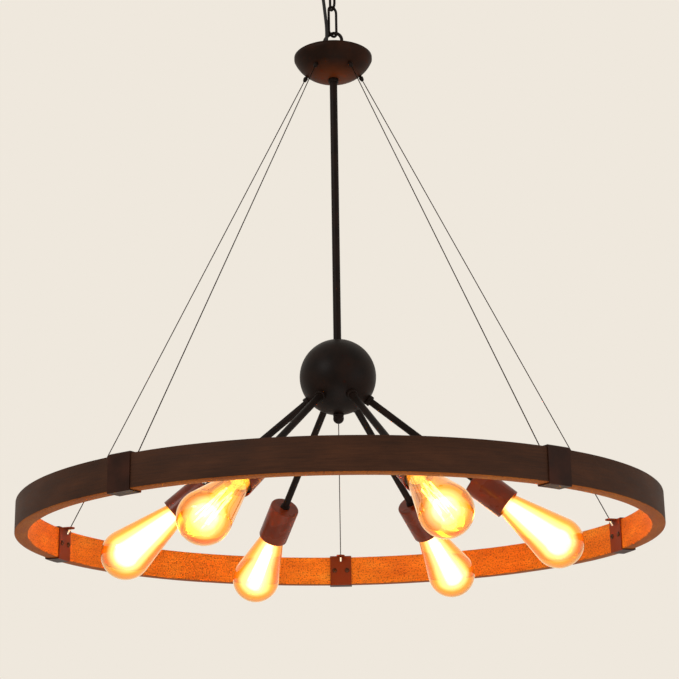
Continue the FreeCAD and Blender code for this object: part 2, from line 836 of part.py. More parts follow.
def bulb_filament():
    """Glass stem, flared to seal the neck, and a cage of glowing strands between two spiders."""
    stem_end = filament_start - bulb_stem_radius
    cage = turned_outline([
        (0, -bulb_neck_inset),
        (bulb_neck_radius - bulb_wall - cable_gap, -bulb_neck_inset),
        (bulb_stem_neck_radius, stem_end - bulb_stem_length),
        (bulb_stem_radius, stem_end),
        (spider_hub_radius, stem_end + bulb_stem_tip),
        (spider_hub_radius, filament_end + spider_thickness),
        (0, filament_end + spider_thickness),
    ])
    spiders = [rod(circle + filament_width, height, height + spider_thickness)
               for circle, height in ((filament_top_circle, filament_start - spider_thickness),
                                      (filament_bottom_circle, filament_end))]
    overlap = spider_thickness / 2
    step = 360 / filament_count
    strands = []
    for k in range(filament_count):
        upper = at(filament_top_circle, step * 2 * ((k + 1) // 2), filament_start)
        lower = at(filament_bottom_circle, step * (2 * (k // 2) + 1), filament_end)
        strand = lower - upper
        bar = Part.makeBox(filament_width, filament_width, strand.Length + 2 * overlap,
                           Vector(-filament_width / 2, -filament_width / 2, -overlap))
        strands.append(pointed(bar, upper, strand))
    return cage.multiFuse(spiders + strands)


# ---------------------------------------------------------------- parts


def group(shapes):
    return Part.makeCompound(shapes)


def write(node, shape):
    shape.exportStep("parts/" + node + ".step")
    print(node, "solids", len(shape.Solids), "valid", shape.isValid(), "volume", round(shape.Volume))


def main():
    os.makedirs("parts", exist_ok=True)
    write("ceiling_crossbar", ceiling_crossbar())
    write("ceiling_nipple", ceiling_nipple())
    write("ceiling_lock_nut", ceiling_lock_nut())
    write("ceiling_canopy", ceiling_canopy())
    write("canopy_collar_nut", canopy_collar_nut())
    write("canopy_cord_bush", cord_bush(cord_route[-1], canopy_floor_z + canopy_wall, canopy_wall))
    write("ceiling_loop", ceiling_loop())

    write("chain_link_1", chain_link(upper_link_top_z, upper_link_azimuth))
    write("chain_link_2", chain_link(lower_link_top_z, lower_link_azimuth))
    for k, piece in enumerate(power_cord_pieces(), 1):
        write("power_cord_" + str(k), piece)

    write("hub_loop", hub_loop())
    write("hub_cover", hub_cover())
    write("hub_cord_bush", cord_bush(cord_route[0], hub_z, hub_cover_thickness))
    write("hub_dish", hub_dish())
    write("cable_grippers", group([piece for cable in cables
                                   for piece in (cable.gripper(), cable.gripper_nut())]))
    write("suspension_cables", group([cable.wire() for cable in cables]))
    write("cable_ferrules", group([cable.ferrule() for cable in cables]))

    for k, cable in enumerate(cables, 1):
        write("ring_stave_" + str(k), ring_stave(cable.azimuth))
        write("ring_clamp_" + str(k), ring_clamp(cable))
    write("clamp_screws", group([clamp_screw(place) for cable in cables
                                 for place in clamp_screw_places(cable.azimuth)]))

    write("down_rod", down_rod())
    write("ball_shell", ball_shell())
    write("cluster_core", cluster_core())
    write("ball_finial", ball_finial())
    mouth = cup_top_distance + cup_length
    for k in range(arm_count):
        number = str(k + 1)
        write("lamp_arm_" + number, along_arm(lamp_arm(), k))
        write("bulb_glass_" + number, along_arm(bulb_glass(), k, mouth))
        write("bulb_cap_" + number, along_arm(bulb_cap(), k, mouth))
        write("bulb_filament_" + number, along_arm(bulb_filament(), k, mouth))
    write("socket_cups", group([along_arm(socket_cup(), k, mouth) for k in range(arm_count)]))
    write("lamp_holders", group([along_arm(lamp_holder(), k, mouth) for k in range(arm_count)]))


main()
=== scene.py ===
"""Wagon wheel chandelier: finishes, fine shapes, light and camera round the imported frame."""
import bpy
import bmesh
import math
from mathutils import Matrix, Vector


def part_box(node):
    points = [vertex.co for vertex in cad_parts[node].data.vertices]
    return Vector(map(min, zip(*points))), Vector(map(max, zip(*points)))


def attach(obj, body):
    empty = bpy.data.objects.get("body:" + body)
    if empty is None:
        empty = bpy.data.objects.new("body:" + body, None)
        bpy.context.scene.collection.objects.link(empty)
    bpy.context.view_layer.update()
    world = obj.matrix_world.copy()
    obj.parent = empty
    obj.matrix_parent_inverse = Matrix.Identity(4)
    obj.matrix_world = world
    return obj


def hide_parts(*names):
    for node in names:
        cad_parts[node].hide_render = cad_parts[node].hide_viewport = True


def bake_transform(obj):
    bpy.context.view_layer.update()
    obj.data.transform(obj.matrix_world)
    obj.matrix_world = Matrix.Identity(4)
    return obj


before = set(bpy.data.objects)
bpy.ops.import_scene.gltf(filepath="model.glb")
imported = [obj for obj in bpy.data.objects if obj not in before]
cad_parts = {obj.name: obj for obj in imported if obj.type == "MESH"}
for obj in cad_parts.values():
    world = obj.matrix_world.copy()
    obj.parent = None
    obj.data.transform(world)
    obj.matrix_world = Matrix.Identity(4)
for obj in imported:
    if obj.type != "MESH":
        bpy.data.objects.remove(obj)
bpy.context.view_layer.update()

MM = 0.001
UP = Vector((0, 0, 1))
IMAGE = 679               # width and height of the picture, in pixels

# ---------------------------------------------------------------- sizes, in millimetres

SNUG_GAP, HOLE_GAP = 0.05, 0.1    # round a piece that is pressed in, and one that is put in
RING_OUTER, RING_INNER, STAVES, FIRST_JOINT = 400.0, 383.0, 5, 90.0
STAVE_GAP, STAVE_CORNER = 0.6, 1.6
CLAMP_INNER, CLAMP_SHEET, LUG_HOLE = 381.4, 1.5, 374.4
SCREW_SPACING, SCREW_LENGTH, SCREW_RADIUS, SCREW_HEAD, SCREW_HEIGHT = 18.0, 13.0, 1.7, 3.4, 2.0
SLOT_LENGTH, SLOT_WIDTH, SLOT_DEPTH = 3.4, 0.75, 2.0
HUB_RADIUS, HUB_LIP, HUB_DEPTH, HUB_FLAT, HUB_WALL, HUB_COVER = 52.7, 4.5, 32.5, 9.0, 1.2, 1.5
CANOPY_RADIUS, CANOPY_LIP, CANOPY_DEPTH, CANOPY_FLAT, CANOPY_WALL = 65.0, 4.0, 25.0, 24.0, 1.0
COLLAR_NUT, KNURL_RIBS, KNURL_DEPTH, SHANK, SHANK_BORE = 13.0, 40, 0.3, 8.0, 4.9
ROD, ROD_BORE, ROD_THREAD, ROD_TAIL = 5.1, 3.0, 4.8, 4.0
ROD_COLLAR, ARM_COLLAR, COLLAR_HEIGHT = 7.0, 6.8, 5.0
BALL_RADIUS, CORE_BOTTOM, FINIAL = 49.1, 21.0, 6.9
ARMS, FIRST_ARM, ARM_DROP = 6, -4.2, 39.3
ARM, ARM_BORE, ARM_START, ARM_END = 4.5, 3.3, 13.5, 228.2
CUP_MOUTH, CUP_LENGTH, CUP_RADIUS, CUP_WALL, CUP_BEND = 271.5, 52.5, 19.5, 1.2, 2.5
HOLDER_RADIUS, HOLDER_TOP_RADIUS, HOLDER_FLOOR = 17.5, 15.0, 9.3
NUT_FLATS, NUT_HEIGHT = 12.0, 2.2
BULB_RADIUS, BULB_LENGTH, BULB_NECK, NECK_INSET, BULB_WALL = 32.0, 109.5, 13.8, 5.0, 0.9
CAP_RADIUS, CAP_LENGTH, CAP_REACH, THREAD_PITCH, THREAD_DEPTH = 13.1, 19.0, 25.0, 3.6, 0.35
STRANDS, STRAND_TOP, STRAND_END, TOP_CIRCLE, END_CIRCLE = 10, 24.0, 86.0, 6.5, 9.5
STRAND = 0.95             # the real strand is finer and blooms, so it is drawn as wide as it looks
ARBOR, HOOK_WIRE, LEAD_WIRE = 0.8, 0.28, 0.35
CABLE, CABLE_SEAT, CABLE_TAIL, CABLE_END = 0.7, 38.0, 7.0, 9.1
CABLE_LAY, CABLE_WIRES = 9.0, 6
FERRULE, FERRULE_CRIMP, FERRULE_LENGTH, FERRULE_DROP = 1.9, 1.55, 6.5, 2.0
GRIPPER, GRIPPER_NOSE, GRIPPER_STEM, GRIPPER_NUT, STEM_LENGTH = 3.0, 2.5, 2.0, 4.0, 6.0
LINK_WIDTH, LINK_WIRE = 18.0, 1.75
LOOP_RADIUS, LOOP_WIRE, LOOP_FOOT, LOOP_STEM = 15.6, 2.25, 7.5, 4.0
CORD = 2.25

# Degrees that the links and loops are turned by about the lamp's axis
UPPER_LINK, LOWER_LINK, HUB_LOOP, CEILING_LOOP = -66.0, 46.0, -25.0, 24.0


def low(node):
    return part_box(node)[0][2] / MM


def high(node):
    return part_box(node)[1][2] / MM


RING_BOTTOM, RING_TOP = low("ring_stave_1"), high("ring_stave_1")
HUB_TOP, HUB_RIM, HUB_FLOOR = high("hub_cover"), low("hub_cover"), low("hub_dish")
CANOPY_BOTTOM, COLLAR_BOTTOM = low("ceiling_canopy"), low("canopy_collar_nut")
BALL = Vector((0, 0, (low("ball_shell") + high("ball_shell")) / 2))

# ---------------------------------------------------------------- nodes and colours


def linear(code, share=1.0):
    """sRGB hex to linear colour, darkened to a share of itself."""
    parts = [int(code[k:k + 2], 16) / 255 for k in (1, 3, 5)]
    return [share * (v / 12.92 if v <= 0.04045 else ((v + 0.055) / 1.055) ** 2.4) for v in parts] + [1]


def add(tree, kind, inputs=(), stops=(), **settings):
    """One node with its settings, the stops of a ramp, and its inputs: each is a value, a
    socket, or a node whose first output is taken. A stop is a hex code, a grey or a colour."""
    made = tree.nodes.new(kind)
    for key, value in settings.items():
        setattr(made, key, value)
    for key, value in dict(inputs).items():
        if isinstance(value, bpy.types.Node):
            value = next(socket for socket in value.outputs if socket.enabled)
        if isinstance(value, bpy.types.NodeSocket):
            tree.links.new(value, made.inputs[key])
        else:
            made.inputs[key].default_value = value
    for number, (position, colour) in enumerate(stops):
        band = made.color_ramp.elements
        spot = band[number] if number < 2 else band.new(position)
        spot.position = position
        if isinstance(colour, float):
            colour = (colour, colour, colour, 1)
        spot.color = linear(colour) if isinstance(colour, str) else colour
    return made


def maths(tree, operation, *values):
    return add(tree, "ShaderNodeMath", dict(enumerate(values)), operation=operation)


def noise(tree, where, size, detail, rough=0.5):
    """Noise with patches of about this many millimetres."""
    return add(tree, "ShaderNodeTexNoise", {"Vector": where, "Scale": 1 / (size * MM),
                                            "Detail": detail, "Roughness": rough})


def ramp(tree, value, stops):
    return add(tree, "ShaderNodeValToRGB", {"Fac": value}, stops)


def mix(tree, share, first, second):
    return add(tree, "ShaderNodeMix", {"Factor": share, "A": first, "B": second}, data_type="RGBA")


def spread(tree, value, first, last, start=0.0, end=1.0, **settings):
    """Value between start and end, spread from first to last."""
    return add(tree, "ShaderNodeMapRange", {"Value": value, "From Min": start, "From Max": end,
                                            "To Min": first, "To Max": last}, **settings)


def bump(tree, height, depth, strength):
    """Relief of this many millimetres."""
    return add(tree, "ShaderNodeBump", {"Height": height, "Distance": depth * MM, "Strength": strength})


def place_on(tree):
    return add(tree, "ShaderNodeTexCoord").outputs["Object"]


def blank(name):
    """New material and its empty tree."""
    made = bpy.data.materials.new(name)
    made.use_nodes = True
    made.node_tree.nodes.clear()
    return made, made.node_tree


def surface(tree, inputs):
    shader = add(tree, "ShaderNodeBsdfPrincipled", inputs)
    return shader, add(tree, "ShaderNodeOutputMaterial", {"Surface": shader})


# ---------------------------------------------------------------- materials


def powder_coat(name, dark, light, rough, gloss, rubbed=None, whole=0, gone=0):
    """Oil rubbed bronze powder coat, sprayed and baked: near black brown, with an orange peel
    skin that softens its highlights, and slow cloudy changes where the coat is thinner. Some
    get a redder tone painted in as warm light: wholly up to one distance from the lamp's axis,
    and no longer at another, in millimetres."""
    made, tree = blank(name)
    where = place_on(tree)
    cloud = noise(tree, where, 26, 2.0)
    peel = noise(tree, where, 1.6, 1.0)
    tone = ramp(tree, cloud, [(0.36, dark), (0.66, light)])
    # Painted light: a redder tone by distance from the lamp's axis, standing in for warm light from the
    # bulbs.
    if rubbed:
        flat = add(tree, "ShaderNodeVectorMath", {0: where, 1: (1, 1, 0)}, operation="MULTIPLY")
        reach = add(tree, "ShaderNodeVectorMath", {0: flat}, operation="LENGTH").outputs["Value"]
        share = spread(tree, reach, 1.0, 0.0, whole * MM, gone * MM, interpolation_type="SMOOTHSTEP")
        tone = mix(tree, share, tone, linear(rubbed))
    surface(tree, {"Specular IOR Level": gloss, "Base Color": tone,
                   "Roughness": spread(tree, cloud, rough - 0.05, rough + 0.07, 0.3, 0.7),
                   "Normal": bump(tree, peel, 0.05, 0.5)})
    return made


def metal(name, colour, rough, scratch=0.6):
    """Plated or drawn metal: bright, with fine scratches of this many millimetres that stretch
    its highlights and dull it in places."""
    made, tree = blank(name)
    fine = noise(tree, place_on(tree), scratch, 4.0, 0.7)
    surface(tree, {"Metallic": 1.0,
                   "Base Color": ramp(tree, fine, [(0.3, colour), (0.8, linear(colour, 0.75))]),
                   "Roughness": spread(tree, fine, rough - 0.08, rough + 0.12),
                   "Normal": bump(tree, fine, 0.01, 0.4)})
    return made


def weathered_wood():
    """Steam bent ash, brushed and stained: dark warm brown outside, with an open grain that
    runs along the stave. The side towards the bulbs, and in part the underside, is painted
    amber orange as the bulbs' warm light on it, full of dark pores, so the two sides read
    apart. The map is in metres along and across.
    Pores are under half a millimetre in ash; they are drawn 2 mm wide so that they show."""
    made, tree = blank("stained ash with painted bulb light")
    uv = add(tree, "ShaderNodeUVMap", uv_map="grain")
    along = add(tree, "ShaderNodeMapping", {"Vector": uv, "Scale": (0.06, 1.0, 1.0)})
    drawn = add(tree, "ShaderNodeMapping", {"Vector": uv, "Scale": (0.4, 1.0, 1.0)})
    grain = noise(tree, along, 1.8, 6.0, 0.62)
    patch = noise(tree, drawn, 24, 4.0)
    pores = noise(tree, uv, 2.3, 2.0, 0.7)
    coat = mix(tree, 0.4, ramp(tree, patch, [(0.30, "#2e1a0f"), (0.72, "#4b2b19"), (0.52, "#3c2214")]),
               ramp(tree, grain, [(0.34, "#28170d"), (0.64, "#4a2c1b")]))
    # Painted light: the amber orange of the side towards the bulbs, and part of the underside, is the bulbs'
    # warm light; the dark pores in it are the wood's own.
    painted_bulb_light = mix(tree, ramp(tree, grain, [(0.34, 0.30), (0.58, 0.0)]),
                ramp(tree, patch, [(0.25, "#cd6412"), (0.80, "#f0962a"), (0.55, "#e47a18")]),
                linear("#9c4410"))
    dots = ramp(tree, pores, [(0.54, 0.0), (0.62, 0.75)])
    warm = mix(tree, dots, painted_bulb_light, linear("#5e2408"))
    # The stored share named inside picks the painted bulb light on each point.
    side = add(tree, "ShaderNodeAttribute", attribute_name="inside").outputs["Fac"]
    height = maths(tree, "MULTIPLY_ADD", dots, -0.6, grain)
    surface(tree, {"Specular IOR Level": 0.12, "Base Color": mix(tree, side, coat, warm),
                   "Roughness": spread(tree, grain, 0.5, 0.8), "Normal": bump(tree, height, 0.25, 0.6)})
    return made


def amber_glass():
    """Amber lacquered blown glass round a burning filament: the middle is washed out by the
    glow, and the rim keeps the colour of the glass. The attribute "lit" is the share of the
    glow at each height. Shadow rays pass, tinted, so the filament lights the wheel."""
    made, tree = blank("amber blown glass")
    # Painted glare: the glass's own emission, near white where it faces the eye and amber towards the rim,
    # stands in for the filament's glare.
    facing = add(tree, "ShaderNodeLayerWeight", {"Blend": 0.5}).outputs["Facing"]
    glow = ramp(tree, facing, [(0.0, "#fffdf2"), (1.0, "#6a4113"), (0.09, "#fff6dc"), (0.155, "#ac7229"),
                               (0.24, "#381a02"), (0.72, "#2a1101"), (0.88, "#8c5e1f")])
    lit = add(tree, "ShaderNodeAttribute", attribute_name="lit").outputs["Fac"]
    shader, out = surface(tree, {
        "Base Color": linear("#f6c76c"), "Transmission Weight": 1.0, "Roughness": 0.0, "IOR": 1.5,
        "Emission Strength": 1.1, "Emission Color": mix(tree, lit, linear("#130601"), glow)})
    tint = add(tree, "ShaderNodeBsdfTransparent", {"Color": linear("#ffdf9c")})
    shadow = add(tree, "ShaderNodeLightPath").outputs["Is Shadow Ray"]
    either = add(tree, "ShaderNodeMixShader", {0: shadow, 1: shader, 2: tint})
    tree.links.new(either.outputs["Shader"], out.inputs["Surface"])
    return made


def carbon_glow():
    """Carbon strand at about 2000 K, a little uneven in heat along its length."""
    made, tree = blank("glowing carbon filament")
    tone = ramp(tree, noise(tree, place_on(tree), 5, 1.0), [(0.35, "#ffb35a"), (0.65, "#ffc878")])
    surface(tree, {"Base Color": tone, "Emission Color": tone, "Roughness": 0.6,
                   "Emission Strength": 30.0})
    return made


def stem_glass():
    """Clear lead glass of the stem, milky and streaked where it was pinched on the wires."""
    made, tree = blank("pinched stem glass")
    streak = noise(tree, place_on(tree), 1.5, 2.0)
    # Painted light: the stem's emission is the filament's glow on the glass, streaked with it.
    surface(tree, {"Transmission Weight": 0.7, "IOR": 1.5, "Emission Strength": 0.9,
                   "Base Color": ramp(tree, streak, [(0.4, "#ffe9bd"), (0.6, "#fff8e4")]),
                   "Emission Color": ramp(tree, streak, [(0.42, "#8a4a12"), (0.6, "#ffd98a")]),
                   "Roughness": spread(tree, streak, 0.05, 0.3)})
    return made


def moulded(name, colour, rough, grain):
    """Moulded rubber or resin: even colour and a fine matt skin of this many millimetres."""
    made, tree = blank(name)
    skin = noise(tree, place_on(tree), grain, 2.0)
    surface(tree, {"Roughness": rough, "Specular IOR Level": 0.3,
                   "Base Color": ramp(tree, skin, [(0.35, linear(colour, 0.7)), (0.65, colour)]),
                   "Normal": bump(tree, skin, 0.03, 0.5)})
    return made


BRONZE = powder_coat("oil rubbed bronze powder coat", "#110a07", "#1d120d", 0.46, 0.08)
# Painted reflection: the redder tone from 12 to 44 mm off the lamp's axis stands in for the bulbs' warm light
# reflected in the dishes.
DISH_BRONZE_PAINTED_REFLECTION = powder_coat("bronze powder coat of the dishes, painted warm reflection", "#1c0f08", "#2e180d", 0.50, 0.06,
                          "#5c2d14", 12, 44)
# Painted light: the cups' coat is made redder and brighter than the other bronze, for the bulbs' warm light
# on them.
CUP_BRONZE_PAINTED_LIGHT = powder_coat("bronze powder coat of the cups, painted bulb light", "#5c220d", "#702b10", 0.26, 0.2)
# Painted light: the redder tone inside the ring's inner face is the bulbs' warm light on the clamp plates'
# inner side.
PLATE_BRONZE = powder_coat("bronze powder coat of the clamps, painted bulb light inside", "#28140c", "#391d12", 0.44, 0.08,
                           "#762f12", RING_INNER - 0.1, RING_INNER)
ZINC = metal("zinc plated steel", "#b9b9b6", 0.34)
CABLE_STEEL = metal("darkened steel strand", "#2c1e16", 0.4, 0.3)
NICKEL = metal("bright nickel plate", "#f4e8cf", 0.18)
SCREW_METAL = metal("bronzed screw steel", "#523322", 0.2, 0.4)
BRASS = metal("drawn brass", "#c9a35e", 0.28)
WOOD = weathered_wood()
AMBER = amber_glass()
GLOW = carbon_glow()
STEM = stem_glass()
RUBBER = moulded("matt black cord rubber", "#141110", 0.62, 0.8)
BUSH = moulded("snap in bush rubber", "#191716", 0.7, 0.6)
RESIN = moulded("phenolic resin", "#241813", 0.4, 1.2)

# ---------------------------------------------------------------- mesh helpers

SHARP = 35.0              # degrees between two faces from which their edge stays sharp
WELD = 0.0005             # millimetres between points that become one


def piece(name, mesh, material, body, nodes=()):
    """Mesh as a finished piece: smooth with sharp corners, riding on its body."""
    if material:
        mesh.materials.append(material)
    mesh.shade_smooth()
    mesh.set_sharp_from_angle(angle=math.radians(SHARP))
    made = bpy.data.objects.new(name, mesh)
    bpy.context.scene.collection.objects.link(made)
    if nodes:
        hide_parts(*nodes)
    if body:
        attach(made, body)
    return made


def as_mesh(name, work):
    """Closed mesh with its faces outwards, from millimetres to metres."""
    bmesh.ops.remove_doubles(work, verts=work.verts, dist=WELD)
    bmesh.ops.recalc_face_normals(work, faces=work.faces)
    bmesh.ops.scale(work, vec=(MM, MM, MM), verts=work.verts)
    mesh = bpy.data.meshes.new(name)
    work.to_mesh(mesh)
    work.free()
    return mesh


def rounded(corners, steps=4):
    """Profile with its corners (radius, height, rounding) turned into short arcs, each over
    less than half of the sides beside it."""
    out = []
    for k, corner in enumerate(corners):
        here = Vector(corner[:2])
        size = corner[2] if len(corner) > 2 else 0
        if not size:
            out.append(tuple(here))
            continue
        before = Vector(corners[k - 1][:2]) - here
        after = Vector(corners[(k + 1) % len(corners)][:2]) - here
        reach = min(size, 0.45 * before.length, 0.45 * after.length)
        start, end = here + before.normalized() * reach, here + after.normalized() * reach
        for j in range(steps + 1):
            t = j / steps
            out.append(tuple(start * (1 - t) ** 2 + here * 2 * t * (1 - t) + end * t ** 2))
    return out


def lathe(work, profile, origin=(0, 0, 0), direction=UP, steps=96, ripple=None):
    """Turned form about a line from its closed profile; ripple(height, angle) adds to the radius."""
    turn = Vector(direction).to_track_quat("Z", "Y").to_matrix()
    rings = []
    for radius, height in profile:
        ring = []
        on_axis = radius < 1e-6
        for k in range(1 if on_axis else steps):
            angle = 2 * math.pi * k / steps
            reach = radius + (ripple(height, angle) if ripple and not on_axis else 0)
            spot = Vector((reach * math.cos(angle), reach * math.sin(angle), height))
            ring.append(work.verts.new(Vector(origin) + turn @ spot))
        rings.append(ring)
    for a, b in zip(rings, rings[1:] + rings[:1]):
        if len(a) == len(b) == 1:
            continue
        for k in range(steps):
            j = (k + 1) % steps
            corners = [a[k % len(a)], a[j % len(a)], b[j % len(b)], b[k % len(b)]]
            work.faces.new(list(dict.fromkeys(corners)))


def tube(work, points, radius, sides=12):
    """Round bar along points, with flat ends."""
    points = [Vector(point) for point in points]
    last = len(points) - 1
    ahead = [(points[min(k + 1, last)] - points[max(k - 1, 0)]).normalized() for k in range(last + 1)]
    side = ahead[0].orthogonal().normalized()
    rings = []
    for point, tangent in zip(points, ahead):
        side = (side - tangent * side.dot(tangent)).normalized()
        other = tangent.cross(side)
        turns = [2 * math.pi * j / sides for j in range(sides)]
        rings.append([work.verts.new(point + radius * (math.cos(t) * side + math.sin(t) * other))
                      for t in turns])
    for a, b in zip(rings, rings[1:]):
        for j in range(sides):
            i = (j + 1) % sides
            work.faces.new([a[j], a[i], b[i], b[j]])
    work.faces.new(rings[0][::-1])
    work.faces.new(rings[-1])


def turned_piece(name, profile, material, body, nodes=(), origin=(0, 0, 0), direction=UP,
                 steps=96, ripple=None):
    work = bmesh.new()
    lathe(work, profile, origin, direction, steps, ripple)
    return piece(name, as_mesh(name, work), material, body, nodes)


def around(radius, azimuth, z):
    angle = math.radians(azimuth)
    return Vector((radius * math.cos(angle), radius * math.sin(angle), z))


# ---------------------------------------------------------------- pieces grown by node trees

SOCKETS = {int: "NodeSocketInt", float: "NodeSocketFloat", Vector: "NodeSocketVector",
           bpy.types.Object: "NodeSocketObject"}


def grown(name, build, material, body, slot, nodes, **sizes):
    """Piece grown by a node tree: build(tree, inputs) adds the nodes and gives the last one.
    The sizes are the tree's named inputs."""
    tree = bpy.data.node_groups.new(name, "GeometryNodeTree")
    face = tree.interface
    face.new_socket("Geometry", in_out="OUTPUT", socket_type="NodeSocketGeometry")
    for label, value in sizes.items():
        face.new_socket(label, in_out="INPUT", socket_type=SOCKETS[type(value)])
    made = build(tree, add(tree, "NodeGroupInput").outputs)
    made = add(tree, "GeometryNodeRealizeInstances", {"Geometry": made})
    made = add(tree, "GeometryNodeSetMaterial", {"Geometry": made, "Material": material})
    add(tree, "NodeGroupOutput", {"Geometry": made})
    holder = bpy.data.objects.new(name, bpy.data.meshes.new(name))
    bpy.context.scene.collection.objects.link(holder)
    modifier = holder.modifiers.new(name, "NODES")
    modifier.node_group = tree
    for socket in face.items_tree:
        if socket.in_out == "INPUT":
            modifier[socket.identifier] = sizes[socket.name]
    seen = holder.evaluated_get(bpy.context.evaluated_depsgraph_get())
    mesh = bpy.data.meshes.new_from_object(seen)
    bpy.data.objects.remove(holder)
    return piece(name, mesh, None, body, nodes)


def template(name, mesh):
    """Pattern for a node tree to repeat; it is removed once its copies are made."""
    made = bpy.data.objects.new(name, mesh)
    bpy.context.scene.collection.objects.link(made)
    return made


def repeated(tree, pattern, count, first, step):
    """Copies of a pattern turned about the lamp's axis, in radians."""
    angle = maths(tree, "MULTIPLY_ADD", add(tree, "GeometryNodeInputIndex"), step, first)
    turn = add(tree, "FunctionNodeEulerToRotation", {
        "Euler": add(tree, "ShaderNodeCombineXYZ", {"Z": angle})})
    spots = add(tree, "GeometryNodePoints", {"Count": count})
    return add(tree, "GeometryNodeInstanceOnPoints", {"Points": spots, "Instance": pattern,
                                                      "Rotation": turn})


def pattern_round(tree, inputs):
    """The pattern object, repeated round the lamp."""
    info = add(tree, "GeometryNodeObjectInfo", {"Object": inputs["Pattern"], "As Instance": True})
    return repeated(tree, info.outputs["Geometry"], inputs["Count"], inputs["First"], inputs["Step"])


def repeat(name, mesh, material, body, slot, nodes, count, first):
    """Piece of equal copies, evenly round the lamp from an azimuth in degrees."""
    pattern = template(name + "_pattern", mesh)
    grown(name, pattern_round, material, body, slot, nodes, Pattern=pattern, Count=count,
          First=math.radians(first), Step=math.radians(360 / count))
    bpy.data.objects.remove(pattern)


def turned_to(tree, shape, angles, where):
    """Shape turned by a vector of angles, then moved."""
    turn = add(tree, "FunctionNodeEulerToRotation", {"Euler": angles})
    return add(tree, "GeometryNodeTransform", {"Geometry": shape, "Rotation": turn, "Translation": where})


# ---------------------------------------------------------------- camera
# Fitted to the rim, the cables and the bulbs: the eye in metres, its angles in radians.

EYE = Vector((0, -2.09949, (RING_BOTTOM - 362.61) * MM))
PITCH, YAW, ROLL = 0.2882, 0.004, -0.0163
FOCAL_PIXELS, CENTRE_X = 1695.95, 343.83


def make_camera():
    sight = Vector((math.sin(YAW) * math.cos(PITCH), math.cos(YAW) * math.cos(PITCH), math.sin(PITCH)))
    right = Vector((math.cos(YAW), -math.sin(YAW), 0))
    upward = right.cross(sight)
    across = math.cos(ROLL) * right + math.sin(ROLL) * upward
    above = math.cos(ROLL) * upward - math.sin(ROLL) * right
    data = bpy.data.cameras.new("camera")
    data.sensor_width = 36.0
    data.lens = FOCAL_PIXELS / IMAGE * data.sensor_width
    data.shift_x = (IMAGE / 2 - CENTRE_X) / IMAGE
    made = bpy.data.objects.new("camera", data)
    made.matrix_world = Matrix((across, above, -sight)).transposed().to_4x4()
    made.location = EYE
    bpy.context.scene.collection.objects.link(made)
    bpy.context.scene.camera = made


make_camera()

# ---------------------------------------------------------------- power cord

# The route of the CAD, from inside the hub up to the inside of the canopy: place, and height
# over the hub's cover
CORD_ROUTE = [(-9.30, -9.00, -5.0), (-9.30, -9.00, 13.05), (-7.50, -8.80, 34.04),
              (-10.41, -9.20, 65.98), (-12.40, -9.50, 83.97), (-13.90, -9.30, 101.97),
              (-15.51, -9.50, 128.06), (-15.51, -9.50, 154.95)]


def cord_line():
    """Points along the cord's smooth line."""
    points = [Vector((x, y, HUB_TOP + z)) * MM for x, y, z in CORD_ROUTE]
    data = bpy.data.curves.new("cord route", "CURVE")
    data.dimensions = "3D"
    data.resolution_u = 24
    line = data.splines.new("NURBS")
    line.points.add(len(points) - 1)
    for spot, point in zip(line.points, points):
        spot.co = (*point, 1)
    line.order_u = 3
    line.use_endpoint_u = True
    holder = bpy.data.objects.new("cord route", data)
    bpy.context.scene.collection.objects.link(holder)
    path = [vert.co.copy() for vert in bpy.data.meshes.new_from_object(holder).vertices]
    bpy.data.objects.remove(holder)
    return path


def power_cord():
    """Jacketed cord in three lengths, one along each cord node of the CAD."""
    path = cord_line()
    lengths = [("power_cord_1", "fixture", "lower_link", "fixture_swing"),
               ("power_cord_2", "lower_link", "upper_link", "lower_link_swing"),
               ("power_cord_3", "upper_link", "root", "upper_link_swing")]
    bottom = path[0].z
    for node, below, above, joint in lengths:
        top = min(high(node) * MM, path[-1].z)
        stretch = []
        for a, b in zip(path, path[1:]):
            for edge in (bottom, top):
                if a.z < edge < b.z:
                    stretch.append(a.lerp(b, (edge - a.z) / (b.z - a.z)))
        stretch += [point for point in path if bottom <= point.z <= top]
        stretch.sort(key=lambda point: point.z)
        work = bmesh.new()
        tube(work, [point / MM for point in stretch], CORD, 24)
        made = piece("cord_" + node[-1], as_mesh(node, work), RUBBER, None, [node])
        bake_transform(made)
        bottom = top


power_cord()

# ---------------------------------------------------------------- wheel

STAVE_STEPS, CORNER_STEPS = 91, 3
GRAIN_SHIFT = 0.31        # metres that each stave's grain lies along from the one before
PLANING = 0.3             # millimetres of unevenness left by the plane
UNDER_PAINTED_LIGHT = 0.4         # how much of the inner side's painted bulb light the underside has
